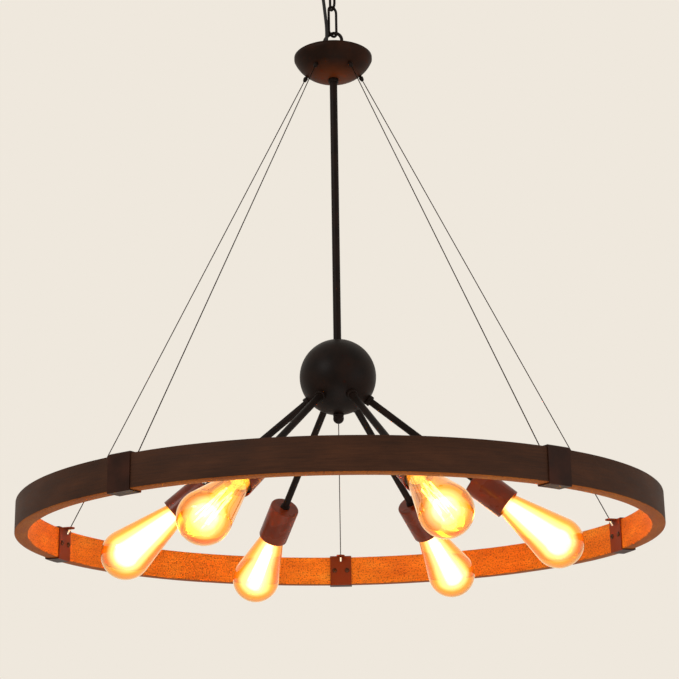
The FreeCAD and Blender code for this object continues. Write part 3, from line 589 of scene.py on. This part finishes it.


def bent_stave(tree, inputs):
    """Rounded bar swept along an arc, a little uneven from the plane, with its grain map in
    metres and the share of painted bulb light of the inner side and underside on each point."""
    bend = add(tree, "GeometryNodeCurveArc", {
        "Resolution": STAVE_STEPS, "Radius": inputs["Middle"], "Start Angle": 0.0,
        "Sweep Angle": inputs["Sweep"]})
    section = add(tree, "GeometryNodeCurvePrimitiveQuadrilateral", {
        "Width": inputs["Thickness"], "Height": inputs["Height"]})
    section = add(tree, "GeometryNodeFilletCurve", {"Curve": section, "Count": CORNER_STEPS,
                                                    "Radius": inputs["Corner"]}, mode="POLY")
    bar = add(tree, "GeometryNodeCurveToMesh", {"Curve": bend, "Profile Curve": section, "Fill Caps": True})
    bar = add(tree, "GeometryNodeSubdivideMesh", {"Mesh": bar, "Level": 1})
    spot = add(tree, "GeometryNodeInputPosition")
    axis = add(tree, "ShaderNodeSeparateXYZ", {"Vector": spot}).outputs
    flat = add(tree, "ShaderNodeCombineXYZ", {"X": axis["X"], "Y": axis["Y"]})
    radius = add(tree, "ShaderNodeVectorMath", {0: flat}, operation="LENGTH").outputs["Value"]
    angle = maths(tree, "ARCTAN2", axis["Y"], axis["X"])
    along = maths(tree, "MULTIPLY_ADD", angle, inputs["Middle"], inputs["Shift"])
    across = maths(tree, "ADD", radius, axis["Z"])
    grain = add(tree, "ShaderNodeCombineXYZ", {"X": along, "Y": across})
    bar = add(tree, "GeometryNodeStoreNamedAttribute", {"Geometry": bar, "Name": "grain", "Value": grain},
              data_type="FLOAT2", domain="CORNER")
    # Share of painted bulb light, stored as inside: all of it on the side towards the bulbs, part of it on
    # the underside.
    edge = maths(tree, "MULTIPLY", inputs["Corner"], -0.5)
    inner_edge = maths(tree, "MULTIPLY_ADD", inputs["Thickness"], -0.5, inputs["Middle"])
    inside = maths(tree, "LESS_THAN", radius, maths(tree, "SUBTRACT", inner_edge, edge))
    under_edge = maths(tree, "MULTIPLY", inputs["Height"], -0.5)
    under = maths(tree, "LESS_THAN", axis["Z"], maths(tree, "SUBTRACT", under_edge, edge))
    under = maths(tree, "MULTIPLY", under, UNDER_PAINTED_LIGHT)
    bar = add(tree, "GeometryNodeStoreNamedAttribute", {
        "Geometry": bar, "Name": "inside", "Value": maths(tree, "MAXIMUM", inside, under)})
    depth = maths(tree, "MULTIPLY_ADD", noise(tree, spot, 40, 1.0), PLANING * MM, -PLANING * MM)
    push = add(tree, "ShaderNodeVectorMath", {0: add(tree, "GeometryNodeInputNormal"), "Scale": depth},
               operation="SCALE")
    bar = add(tree, "GeometryNodeSetPosition", {"Geometry": bar, "Offset": push})
    return turned_to(tree, bar, inputs["Turn"], inputs["Place"])


def staves():
    gap = STAVE_GAP / RING_INNER
    share = 2 * math.pi / STAVES
    for k in range(STAVES):
        name = str(k + 1)
        grown("stave_" + name, bent_stave, WOOD, "fixture", "stave_wood", ["ring_stave_" + name],
              Middle=(RING_OUTER + RING_INNER) / 2 * MM, Thickness=(RING_OUTER - RING_INNER) * MM,
              Height=(RING_TOP - RING_BOTTOM) * MM, Corner=STAVE_CORNER * MM, Sweep=share - gap,
              Shift=k * GRAIN_SHIFT,
              Turn=Vector((0, 0, math.radians(FIRST_JOINT) + k * share + gap / 2)),
              Place=UP * (RING_TOP + RING_BOTTOM) / 2 * MM)


staves()

# ---------------------------------------------------------------- hub, canopy, rod and ball

BOWL_STEPS, BALL_STEPS, DOME_STEPS = 20, 64, 12


def bowl_profile(rim, top, lip, depth, flat, wall, hole):
    """Spun dish from the hole in its flat floor up the round side to the lip, and back inside."""
    floor, side, reach = top - depth, depth - lip, rim - flat
    bend = (reach ** 2 + side ** 2) / (2 * side)
    skins = []
    for inset in (0, wall):
        swing = math.asin((reach - inset) / (bend - inset))
        turns = [swing * k / BOWL_STEPS for k in range(BOWL_STEPS + 1)]
        skins.append([(flat + (bend - inset) * math.sin(t),
                       floor + inset + (bend - inset) * (1 - math.cos(t))) for t in turns])
    roll = wall * 0.45
    edge = [(rim, top - roll), (rim - roll * 0.3, top - roll * 0.3), (rim - roll, top),
            (rim - wall + roll, top), (rim - wall, top - roll)]
    return [(hole, floor)] + skins[0] + edge + skins[1][::-1] + [(hole, floor + wall)]


def quarter_dome(radius, end):
    turns = [math.pi / 2 * k / DOME_STEPS for k in range(DOME_STEPS + 1)]
    return [(radius * math.cos(t), end + radius - radius * math.sin(t)) for t in turns]


def knurl(height, angle):
    """Grip of the collar nut, between its two plain edges."""
    plain = height > CANOPY_BOTTOM - 0.5 or height < COLLAR_BOTTOM + 1.8
    return 0 if plain else KNURL_DEPTH * (abs(math.sin(KNURL_RIBS / 2 * angle)) - 1)


def hub_and_canopy():
    hub = bowl_profile(HUB_RADIUS, HUB_RIM, HUB_LIP - HUB_COVER, HUB_DEPTH - HUB_COVER, HUB_FLAT,
                       HUB_WALL, ROD_THREAD + HOLE_GAP)
    turned_piece("hub_bowl", hub, DISH_BRONZE_PAINTED_REFLECTION, "fixture", ["hub_dish"], steps=128)
    canopy = bowl_profile(CANOPY_RADIUS, 0.0, CANOPY_LIP, CANOPY_DEPTH, CANOPY_FLAT, CANOPY_WALL,
                          SHANK + HOLE_GAP)
    turned_piece("canopy_bowl", canopy, DISH_BRONZE_PAINTED_REFLECTION, "root", ["ceiling_canopy"], steps=128)
    nut = rounded([(SHANK + HOLE_GAP, CANOPY_BOTTOM), (COLLAR_NUT, CANOPY_BOTTOM, 0.4),
                   (COLLAR_NUT, CANOPY_BOTTOM - 0.9), (COLLAR_NUT, COLLAR_BOTTOM + 3.5),
                   (COLLAR_NUT, COLLAR_BOTTOM, 1.6), (SHANK + HOLE_GAP, COLLAR_BOTTOM)])
    turned_piece("collar_ring_nut", nut, BRONZE, "root", ["canopy_collar_nut"], steps=120,
                 ripple=knurl)


def rod_and_ball():
    top, end, shoulder = high("down_rod"), low("down_rod"), HUB_FLOOR - COLLAR_HEIGHT
    core = BALL.z - CORE_BOTTOM
    turned_piece("down_tube", rounded([
        (ROD_BORE, top), (ROD_THREAD, top, 0.4), (ROD_THREAD, HUB_FLOOR), (ROD_COLLAR, HUB_FLOOR, 0.3),
        (ROD_COLLAR, shoulder, 0.8), (ROD, shoulder), (ROD, core, 0.3), (ROD_TAIL, core),
        (ROD_TAIL, end, 0.3), (ROD_BORE, end)]), BRONZE, "fixture", ["down_rod"], steps=48)
    turns = [math.pi * k / BALL_STEPS for k in range(BALL_STEPS + 1)]
    turned_piece("ball", [(BALL_RADIUS * math.sin(t), BALL.z + BALL_RADIUS * math.cos(t)) for t in turns],
                 BRONZE, "fixture", ["ball_shell"], steps=128)
    pole, bore, deep = BALL.z - BALL_RADIUS, ROD_TAIL + SNUG_GAP, 6.0
    turned_piece("acorn_finial", rounded([
        (bore, pole - deep), (bore, pole - 0.1), (FINIAL, pole - 0.1, 0.6), (FINIAL, pole - 2.2, 0.3),
        (FINIAL - 0.6, pole - 2.8, 0.2), (FINIAL, pole - 3.4, 0.3)])
        + quarter_dome(FINIAL, low("ball_finial")) + [(0.0, pole - deep)],
        BRONZE, "fixture", ["ball_finial"], steps=48)


hub_and_canopy()
rod_and_ball()

# ---------------------------------------------------------------- arms, cups and bulbs
# Heights of the cups and bulbs run from the mouth of the cup towards the tip of the bulb.

CUP_TOP, CAP_END, WELL = -CUP_LENGTH, -NECK_INSET - CAP_REACH, CAP_RADIUS + 0.35
ARM_HOLE, CUP_INSIDE, CUP_CEILING = ARM + SNUG_GAP, CUP_RADIUS - CUP_WALL, CUP_TOP + CUP_WALL
ARM_SEAT, HOLDER_END = BALL_RADIUS + SNUG_GAP, -NECK_INSET - 0.5
ARM_PROFILE = rounded([
    (ARM_BORE, ARM_START), (ARM, ARM_START), (ARM, ARM_SEAT), (ARM_COLLAR, ARM_SEAT, 0.3),
    (ARM_COLLAR, ARM_SEAT + COLLAR_HEIGHT, 1.4), (ARM, ARM_SEAT + COLLAR_HEIGHT), (ARM, ARM_END),
    (ARM_BORE, ARM_END)])
CUP_PROFILE = rounded([
    (ARM_HOLE, CUP_TOP), (CUP_RADIUS, CUP_TOP, CUP_BEND), (CUP_RADIUS, 0.0, 0.5),
    (CUP_INSIDE, 0.0, 0.5), (CUP_INSIDE, CUP_CEILING, CUP_BEND), (ARM_HOLE, CUP_CEILING)], 6)
HOLDER_PROFILE = rounded([
    (ARM_HOLE, CUP_CEILING), (HOLDER_TOP_RADIUS, CUP_CEILING, 1.0), (HOLDER_RADIUS, CUP_TOP + 3.7, 1.0),
    (HOLDER_RADIUS, HOLDER_END, 0.6), (WELL, HOLDER_END, 0.4), (WELL, CAP_END - 0.3),
    (0.0, CAP_END - 0.3), (0.0, CUP_TOP + HOLDER_FLOOR), (ARM_HOLE, CUP_TOP + HOLDER_FLOOR)])
STEM_PROFILE = [(0, -NECK_INSET), (12.8, -NECK_INSET), (11.6, -3.0), (6.0, 1.0), (4.2, 6.0), (4.4, 14.0),
                (5.0, 18.0), (3.4, 20.5), (1.3, 22.5), (0.9, 30.0), (0.9, 84.0), (1.6, 86.5),
                (1.2, 88.0), (0, 88.4)]
LIT = [(-NECK_INSET, 0.3), (6.0, 0.9), (30.0, 1.0), (74.0, 1.0), (96.0, 0.55), (BULB_LENGTH, 0.2)]
GLASS_SIDE_STEPS, GLASS_END_STEPS = 12, 28


def arm_line(azimuth=0.0):
    drop = math.radians(ARM_DROP)
    return around(math.cos(drop), azimuth, -math.sin(drop))


def glass_skin(inset):
    """Pear with a round end: from the neck up its straight side and round to the tip."""
    end, neck, centre = BULB_RADIUS - inset, BULB_NECK - inset, BULB_LENGTH - BULB_RADIUS
    reach = centre + NECK_INSET
    lean = math.atan2(reach, neck) - math.acos(end / math.hypot(neck, reach))
    start = Vector((neck, -NECK_INSET))
    shoulder = Vector((end * math.cos(lean), centre - end * math.sin(lean)))
    turns = [-lean + (math.pi / 2 + lean) * k / GLASS_END_STEPS for k in range(GLASS_END_STEPS)]
    return ([tuple(start.lerp(shoulder, k / GLASS_SIDE_STEPS)) for k in range(GLASS_SIDE_STEPS)]
            + [(end * math.cos(t), centre + end * math.sin(t)) for t in turns] + [(0.0, centre + end)])


def share_at(table, height):
    for (low_end, low_share), (high_end, high_share) in zip(table, table[1:]):
        if height <= high_end:
            t = max(0.0, (height - low_end) / (high_end - low_end))
            return low_share + (high_share - low_share) * t
    return table[-1][1]


def blown_bulb(name, body, mouth, direction, node):
    work = bmesh.new()
    lathe(work, glass_skin(0) + glass_skin(BULB_WALL)[::-1], mouth, direction, 72)
    mesh = as_mesh(name, work)
    lit = mesh.attributes.new("lit", "FLOAT", "POINT")
    heights = [(vert.co / MM - mouth).dot(direction) for vert in mesh.vertices]
    lit.data.foreach_set("value", [share_at(LIT, height) for height in heights])
    piece(name, mesh, AMBER, body, [node])


def filament_cage(stem, glow, mouth, direction):
    """Glass stem and its arbor with hooked support wires, and the strands strung over them."""
    turn = direction.to_track_quat("Z", "Y").to_matrix()
    step = 360 / STRANDS
    hooks = [(STRAND_TOP - 2, TOP_CIRCLE, 0, 1), (STRAND_END + 1, END_CIRCLE, step, -1)]

    def at(radius, degrees, height):
        return mouth + turn @ around(radius, degrees, height)

    lathe(stem, STEM_PROFILE, mouth, direction, 24)
    for k in range(STRANDS // 2):
        for height, circle, offset, hook in hooks:
            azimuth = 2 * step * k + offset
            tube(stem, [at(ARBOR, azimuth, height), at(circle * 0.6, azimuth, height - hook),
                        at(circle, azimuth, height), at(circle + 0.4, azimuth, height + 1.4 * hook)],
                 HOOK_WIRE, 6)
    for azimuth in (90, 270):
        tube(stem, [at(2.2, azimuth, 2.0), at(3.1, azimuth, 16.0), at(TOP_CIRCLE, azimuth, STRAND_TOP)],
             LEAD_WIRE, 6)
    for k in range(STRANDS):
        upper = at(TOP_CIRCLE, step * 2 * ((k + 1) // 2), STRAND_TOP)
        lower = at(END_CIRCLE, step * (2 * (k // 2) + 1), STRAND_END)
        tube(glow, [upper, upper.lerp(lower, 0.5), lower], STRAND, 8)


def cap_thread(height, angle):
    """Rolled round thread of the screw cap."""
    plain = height > -NECK_INSET - 2.0 or height < -NECK_INSET - CAP_LENGTH + 1.0
    return 0 if plain else THREAD_DEPTH * math.sin(2 * math.pi * height / THREAD_PITCH - angle)


CAP_SIDE, CAP_STEPS, CONTACT = CAP_RADIUS - THREAD_DEPTH, 60, 4.5
CAP_PROFILE = ([(CAP_SIDE - 0.6, -NECK_INSET)]
               + [(CAP_SIDE, -NECK_INSET - CAP_LENGTH * k / CAP_STEPS) for k in range(CAP_STEPS + 1)]
               + [(7.2, CAP_END + 2.0), (CONTACT, CAP_END + 2.0), (CONTACT, CAP_END), (0, CAP_END),
                  (0, CAP_END + 4.0), (CAP_SIDE - 0.8, CAP_END + 6.5)])


def lamp_cluster():
    for k in range(ARMS):
        number, body = str(k + 1), "bulb_%d" % (k + 1)
        direction = arm_line(FIRST_ARM + k * 360 / ARMS)
        mouth = BALL + direction * CUP_MOUTH
        turned_piece("arm_" + number, ARM_PROFILE, BRONZE, "fixture", ["lamp_arm_" + number],
                     BALL, direction, 40)
        blown_bulb("glass_" + number, body, mouth, direction, "bulb_glass_" + number)
        stem, glow = bmesh.new(), bmesh.new()
        filament_cage(stem, glow, mouth, direction)
        piece("stem_" + number, as_mesh("stem", stem), STEM, body)
        piece("filament_" + number, as_mesh("filament", glow), GLOW, body,
              ["bulb_filament_" + number])
        turned_piece("cap_" + number, CAP_PROFILE, BRASS, body, ["bulb_cap_" + number],
                     mouth, direction, 48, cap_thread)
    direction = arm_line()
    mouth = BALL + direction * CUP_MOUTH
    hexagon = NUT_FLATS / math.sqrt(3)
    nut = rounded([(ARM + HOLE_GAP, CUP_TOP), (hexagon, CUP_TOP), (hexagon, CUP_TOP - NUT_HEIGHT, 0.5),
                   (ARM + HOLE_GAP, CUP_TOP - NUT_HEIGHT)])
    for name, profile, material, slot, nodes, steps in (
            ("cups", CUP_PROFILE, CUP_BRONZE_PAINTED_LIGHT, "bronze", ["socket_cups"], 96),
            ("holders", HOLDER_PROFILE, RESIN, "holder", ["lamp_holders"], 48),
            ("arm_nuts", nut, BRONZE, "bronze", [], 6)):
        work = bmesh.new()
        lathe(work, profile, mouth, direction, steps)
        repeat(name, as_mesh(name, work), material, "fixture", slot, nodes, ARMS, FIRST_ARM)


lamp_cluster()

# ---------------------------------------------------------------- chain and loops

WIRE_SIDES, BEND_STEPS = 20, 16


def wire_link(tree, inputs):
    """Long link: round wire swept along a rectangle whose ends are half circles."""
    path = add(tree, "GeometryNodeCurvePrimitiveQuadrilateral", {
        "Width": inputs["Width"], "Height": inputs["Length"]})
    bend = maths(tree, "MULTIPLY", inputs["Width"], 0.499)
    path = add(tree, "GeometryNodeFilletCurve", {"Curve": path, "Count": BEND_STEPS, "Radius": bend},
               mode="POLY")
    wire = add(tree, "GeometryNodeCurvePrimitiveCircle", {"Resolution": WIRE_SIDES, "Radius": inputs["Wire"]})
    link = add(tree, "GeometryNodeCurveToMesh", {"Curve": path, "Profile Curve": wire})
    return turned_to(tree, link, inputs["Turn"], inputs["Place"])


def chain_link(name, node, azimuth):
    """Link on the body of its own name."""
    top, bottom = high(node), low(node)
    grown(name, wire_link, BRONZE, name, "bronze", [node], Width=(LINK_WIDTH - 2 * LINK_WIRE) * MM,
          Length=(top - bottom - 2 * LINK_WIRE) * MM, Wire=LINK_WIRE * MM,
          Turn=Vector((math.pi / 2, 0, math.radians(azimuth))), Place=UP * (top + bottom) / 2 * MM)


def loop_with_foot(name, node, body, azimuth, centre, foot):
    """Forged eye and the turned foot or shank that it stands on."""
    ring = LOOP_RADIUS - LOOP_WIRE
    turns = [2 * math.pi * k / WIRE_SIDES for k in range(WIRE_SIDES)]
    turned_piece(name, [(ring + LOOP_WIRE * math.cos(t), LOOP_WIRE * math.sin(t)) for t in turns],
                 BRONZE, body, [node], (0, 0, centre), around(1, azimuth + 90, 0), 72)
    turned_piece(name + "_foot", rounded(foot), BRONZE, body, steps=48)


def chain():
    chain_link("upper_link", "chain_link_1", UPPER_LINK)
    chain_link("lower_link", "chain_link_2", LOWER_LINK)
    centre, bore = high("hub_loop") - LOOP_RADIUS, ROD_THREAD + HOLE_GAP
    root = centre - LOOP_RADIUS + LOOP_WIRE
    loop_with_foot("hub_eye", "hub_loop", "fixture", HUB_LOOP, centre, [
        (bore, HUB_TOP), (LOOP_FOOT, HUB_TOP, 0.4), (LOOP_FOOT, HUB_TOP + 3.0, 0.8),
        (5.2, HUB_TOP + 5.2, 1.5), (LOOP_STEM, root, 0.6), (0.0, root), (0.0, HUB_TOP + 8.0),
        (bore, HUB_TOP + 8.0)])
    centre, top = low("ceiling_loop") + LOOP_RADIUS, high("ceiling_loop")
    root = centre + LOOP_RADIUS - LOOP_WIRE
    loop_with_foot("ceiling_eye", "ceiling_loop", "root", CEILING_LOOP, centre, [
        (0.0, root), (LOOP_STEM, root, 0.6), (SHANK, COLLAR_BOTTOM - 0.1, 1.0), (SHANK, top, 0.4),
        (SHANK_BORE, top), (SHANK_BORE, top - 10.0), (0.0, top - 10.0)])


chain()

# ---------------------------------------------------------------- cables, grippers and screws


def cable_line():
    """Where the cable at azimuth 0 leaves the hub, its direction and its length to the lug."""
    reach, side = HUB_RADIUS - HUB_FLAT, HUB_DEPTH - HUB_LIP
    bend = (reach ** 2 + side ** 2) / (2 * side)
    seat = Vector((CABLE_SEAT, 0, HUB_FLOOR + bend - math.sqrt(bend ** 2 - (CABLE_SEAT - HUB_FLAT) ** 2)))
    run = Vector((LUG_HOLE, 0, RING_TOP + 0.1 + CLAMP_SHEET / 2)) - seat
    return seat, run.normalized(), run.length


def laid_cables(tree, inputs):
    """Six wires laid round each other in a right hand lay, for every cable."""
    line = add(tree, "GeometryNodeCurvePrimitiveLine", {"Start": inputs["Start"], "End": inputs["End"]})
    step = maths(tree, "MULTIPLY", inputs["Lay"], 0.12)
    line = add(tree, "GeometryNodeResampleCurve", {"Curve": line, "Length": step}, mode="LENGTH")
    copies = add(tree, "GeometryNodeDuplicateElements", {"Geometry": line, "Amount": CABLE_WIRES},
                 domain="SPLINE").outputs
    height = add(tree, "ShaderNodeSeparateXYZ", {"Vector": add(tree, "GeometryNodeInputPosition")})
    turns = maths(tree, "DIVIDE", height.outputs["Z"], inputs["Lay"])
    turns = maths(tree, "MULTIPLY_ADD", copies["Duplicate Index"], 1 / CABLE_WIRES, turns)
    angle = maths(tree, "MULTIPLY", turns, 2 * math.pi)
    circle = add(tree, "ShaderNodeCombineXYZ", {"X": maths(tree, "COSINE", angle),
                                                "Y": maths(tree, "SINE", angle)})
    reach = maths(tree, "MULTIPLY", inputs["Wire"], 2.0)
    strands = add(tree, "GeometryNodeSetPosition", {
        "Geometry": copies["Geometry"],
        "Offset": add(tree, "ShaderNodeVectorMath", {0: circle, "Scale": reach}, operation="SCALE")})
    wire = add(tree, "GeometryNodeCurvePrimitiveCircle", {"Resolution": 4, "Radius": inputs["Wire"]})
    cable = add(tree, "GeometryNodeCurveToMesh", {"Curve": strands, "Profile Curve": wire, "Fill Caps": True})
    cable = turned_to(tree, cable, inputs["Turn"], inputs["Place"])
    return repeated(tree, cable, inputs["Count"], inputs["First"], inputs["Step"])


ROUND_WHEEL = {"Count": STAVES, "First": math.radians(FIRST_JOINT), "Step": 2 * math.pi / STAVES}


def cables():
    seat, run, length = cable_line()
    grown("cable_strands", laid_cables, CABLE_STEEL, "fixture", "cable_wire", ["suspension_cables"],
          Start=UP * -CABLE_TAIL * MM, End=UP * (length + CABLE_END) * MM, Lay=CABLE_LAY * MM,
          Wire=CABLE / 3 * MM, Turn=Vector((0, math.atan2(run.x, run.z), 0)), Place=seat * MM, **ROUND_WHEEL)
    bore, near = CABLE + SNUG_GAP, length + FERRULE_DROP
    far = near + FERRULE_LENGTH
    crimps = [(radius, near + place, 0.2) for radius, place in (
        (FERRULE, 1.9), (FERRULE_CRIMP, 2.3), (FERRULE, 2.7), (FERRULE, 3.9), (FERRULE_CRIMP, 4.3),
        (FERRULE, 4.7))]
    crimped = rounded([(bore, near), (FERRULE, near, 0.4)] + crimps + [(FERRULE, far, 0.4), (bore, far)], 2)
    gripper = rounded([
        (bore, -STEM_LENGTH), (GRIPPER_STEM, -STEM_LENGTH, 0.2), (GRIPPER_STEM, 1.9), (GRIPPER, 1.9, 0.3),
        (GRIPPER, 5.0, 0.3), (GRIPPER_NOSE, 5.5, 0.2), (GRIPPER_NOSE, 6.6, 0.3), (1.6, 8.0, 0.4),
        (bore, 8.0)], 2)
    thread = GRIPPER_STEM + SNUG_GAP
    nut = rounded([(thread, -STEM_LENGTH), (GRIPPER_NUT, -STEM_LENGTH, 0.3), (GRIPPER_NUT, -3.5, 0.3),
                   (thread, -3.5)], 2)
    for name, shapes, material, slot, nodes in (
            ("ferrules", [crimped], NICKEL, "ferrule", ["cable_ferrules"]),
            ("grippers", [gripper, nut], BRONZE, "bronze", ["cable_grippers"])):
        work = bmesh.new()
        for shape in shapes:
            lathe(work, shape, seat, run, 24)
        repeat(name, as_mesh(name, work), material, "fixture", slot, nodes, STAVES, FIRST_JOINT)


def cross_head_screws(tree, inputs):
    """Pan heads with a cross cut in them, in pairs beside each joint of the wheel."""
    screw = add(tree, "GeometryNodeObjectInfo", {"Object": inputs["Pattern"]}).outputs["Geometry"]
    for slot in ("Slot", "Cross"):
        blade = add(tree, "GeometryNodeMeshCube", {"Size": inputs[slot]})
        blade = add(tree, "GeometryNodeTransform", {"Geometry": blade, "Translation": inputs["Head"]})
        screw = add(tree, "GeometryNodeMeshBoolean", {"Mesh 1": screw, "Mesh 2": blade}, solver="EXACT")
    screw = turned_to(tree, screw, (0, math.pi / 2, 0), inputs["Place"])
    back = maths(tree, "MULTIPLY", inputs["Apart"], -0.5)
    pair = repeated(tree, screw, 2, back, inputs["Apart"])
    return repeated(tree, pair, inputs["Count"], inputs["First"], inputs["Step"])


def screws():
    flat = SCREW_HEAD * 0.55
    work = bmesh.new()
    lathe(work, rounded([
        (0, -SCREW_HEIGHT), (flat, -SCREW_HEIGHT, 1.0), (SCREW_HEAD, -0.8, 0.6), (SCREW_HEAD, 0, 0.1),
        (SCREW_RADIUS, 0), (SCREW_RADIUS, SCREW_LENGTH - SCREW_RADIUS, 0.3), (0, SCREW_LENGTH)]), steps=28)
    pattern = template("screw_pattern", as_mesh("screw", work))
    long, narrow, deep = SLOT_LENGTH * MM, SLOT_WIDTH * MM, SLOT_DEPTH * MM
    grown("pan_head_screws", cross_head_screws, SCREW_METAL, "fixture", "screw", ["clamp_screws"],
          Pattern=pattern, Slot=Vector((long, narrow, deep)), Cross=Vector((narrow, long, deep)),
          Head=UP * -SCREW_HEIGHT * MM,
          Place=Vector((CLAMP_INNER - SNUG_GAP, 0, (RING_TOP + RING_BOTTOM) / 2)) * MM,
          Apart=SCREW_SPACING / CLAMP_INNER, **ROUND_WHEEL)
    bpy.data.objects.remove(pattern)


cables()
screws()

# ---------------------------------------------------------------- CAD nodes that keep their shape

KEPT = {"ceiling_crossbar": ZINC, "ceiling_nipple": ZINC, "ceiling_lock_nut": ZINC, "cluster_core": ZINC,
        "canopy_cord_bush": BUSH, "hub_cord_bush": BUSH, "hub_cover": DISH_BRONZE_PAINTED_REFLECTION}
KEPT.update({"ring_clamp_%d" % k: PLATE_BRONZE for k in range(1, STAVES + 1)})
for node, material in KEPT.items():
    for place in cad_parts[node].material_slots:
        place.material = material

# ---------------------------------------------------------------- floor and light, in metres

PALE = "#efe8dd"
LAMP_AIM = Vector((0, 0, -0.6))
FLOOR_REACH, FLOOR_HEIGHT = 60.0, -4.2


def seen_directly(tree):
    """1 where a ray comes from the camera, a mirror or through glass, else 0."""
    ray = add(tree, "ShaderNodeLightPath").outputs
    both = maths(tree, "MAXIMUM", ray["Is Camera Ray"], ray["Is Glossy Ray"])
    return maths(tree, "MAXIMUM", both, ray["Is Transmission Ray"])


def soft_lamp(name, where, size, power):
    data = bpy.data.lights.new(name, "AREA")
    data.energy = power
    data.shape = "DISK"
    data.size = size
    made = bpy.data.objects.new(name, data)
    made.location = where
    made.rotation_euler = (LAMP_AIM - Vector(where)).to_track_quat("-Z", "Y").to_euler()
    bpy.context.scene.collection.objects.link(made)


def studio():
    soft_lamp("key", (-1.9, -2.2, 0.5), 1.2, 30)
    soft_lamp("fill", (2.3, -1.6, -0.9), 2.2, 16)
    soft_lamp("under", (0.3, -0.8, -2.3), 1.8, 12)
    world = bpy.data.worlds.new("studio")
    bpy.context.scene.world = world
    world.use_nodes = True
    tree = world.node_tree
    tree.nodes.clear()
    soft = add(tree, "ShaderNodeBackground", {"Color": linear("#ffffff"), "Strength": 0.5})
    pale = add(tree, "ShaderNodeBackground", {"Color": linear(PALE), "Strength": 1.0})
    both = add(tree, "ShaderNodeMixShader", {0: seen_directly(tree), 1: soft, 2: pale})
    add(tree, "ShaderNodeOutputWorld", {"Surface": both})


def pale_floor():
    """Matt backdrop paint, mostly shining its own pale colour so that it meets the world's."""
    mesh = bpy.data.meshes.new("floor")
    corners = [(-1, -1), (1, -1), (1, 1), (-1, 1)]
    mesh.from_pydata([(x * FLOOR_REACH, y * FLOOR_REACH, FLOOR_HEIGHT) for x, y in corners],
                     [], [(0, 1, 2, 3)])
    floor = bpy.data.objects.new("floor", mesh)
    made, tree = blank("matt backdrop paint")
    paint = add(tree, "ShaderNodeBsdfDiffuse", {"Color": linear(PALE)})
    shine = add(tree, "ShaderNodeEmission", {"Color": linear(PALE, 1.12), "Strength": 1.0})
    share = maths(tree, "MULTIPLY", seen_directly(tree), 0.8)
    both = add(tree, "ShaderNodeMixShader", {0: share, 1: paint, 2: shine})
    add(tree, "ShaderNodeOutputMaterial", {"Surface": both})
    mesh.materials.append(made)
    bpy.context.scene.collection.objects.link(floor)


studio()
pale_floor()
bpy.context.scene.view_settings.view_transform = "Standard"
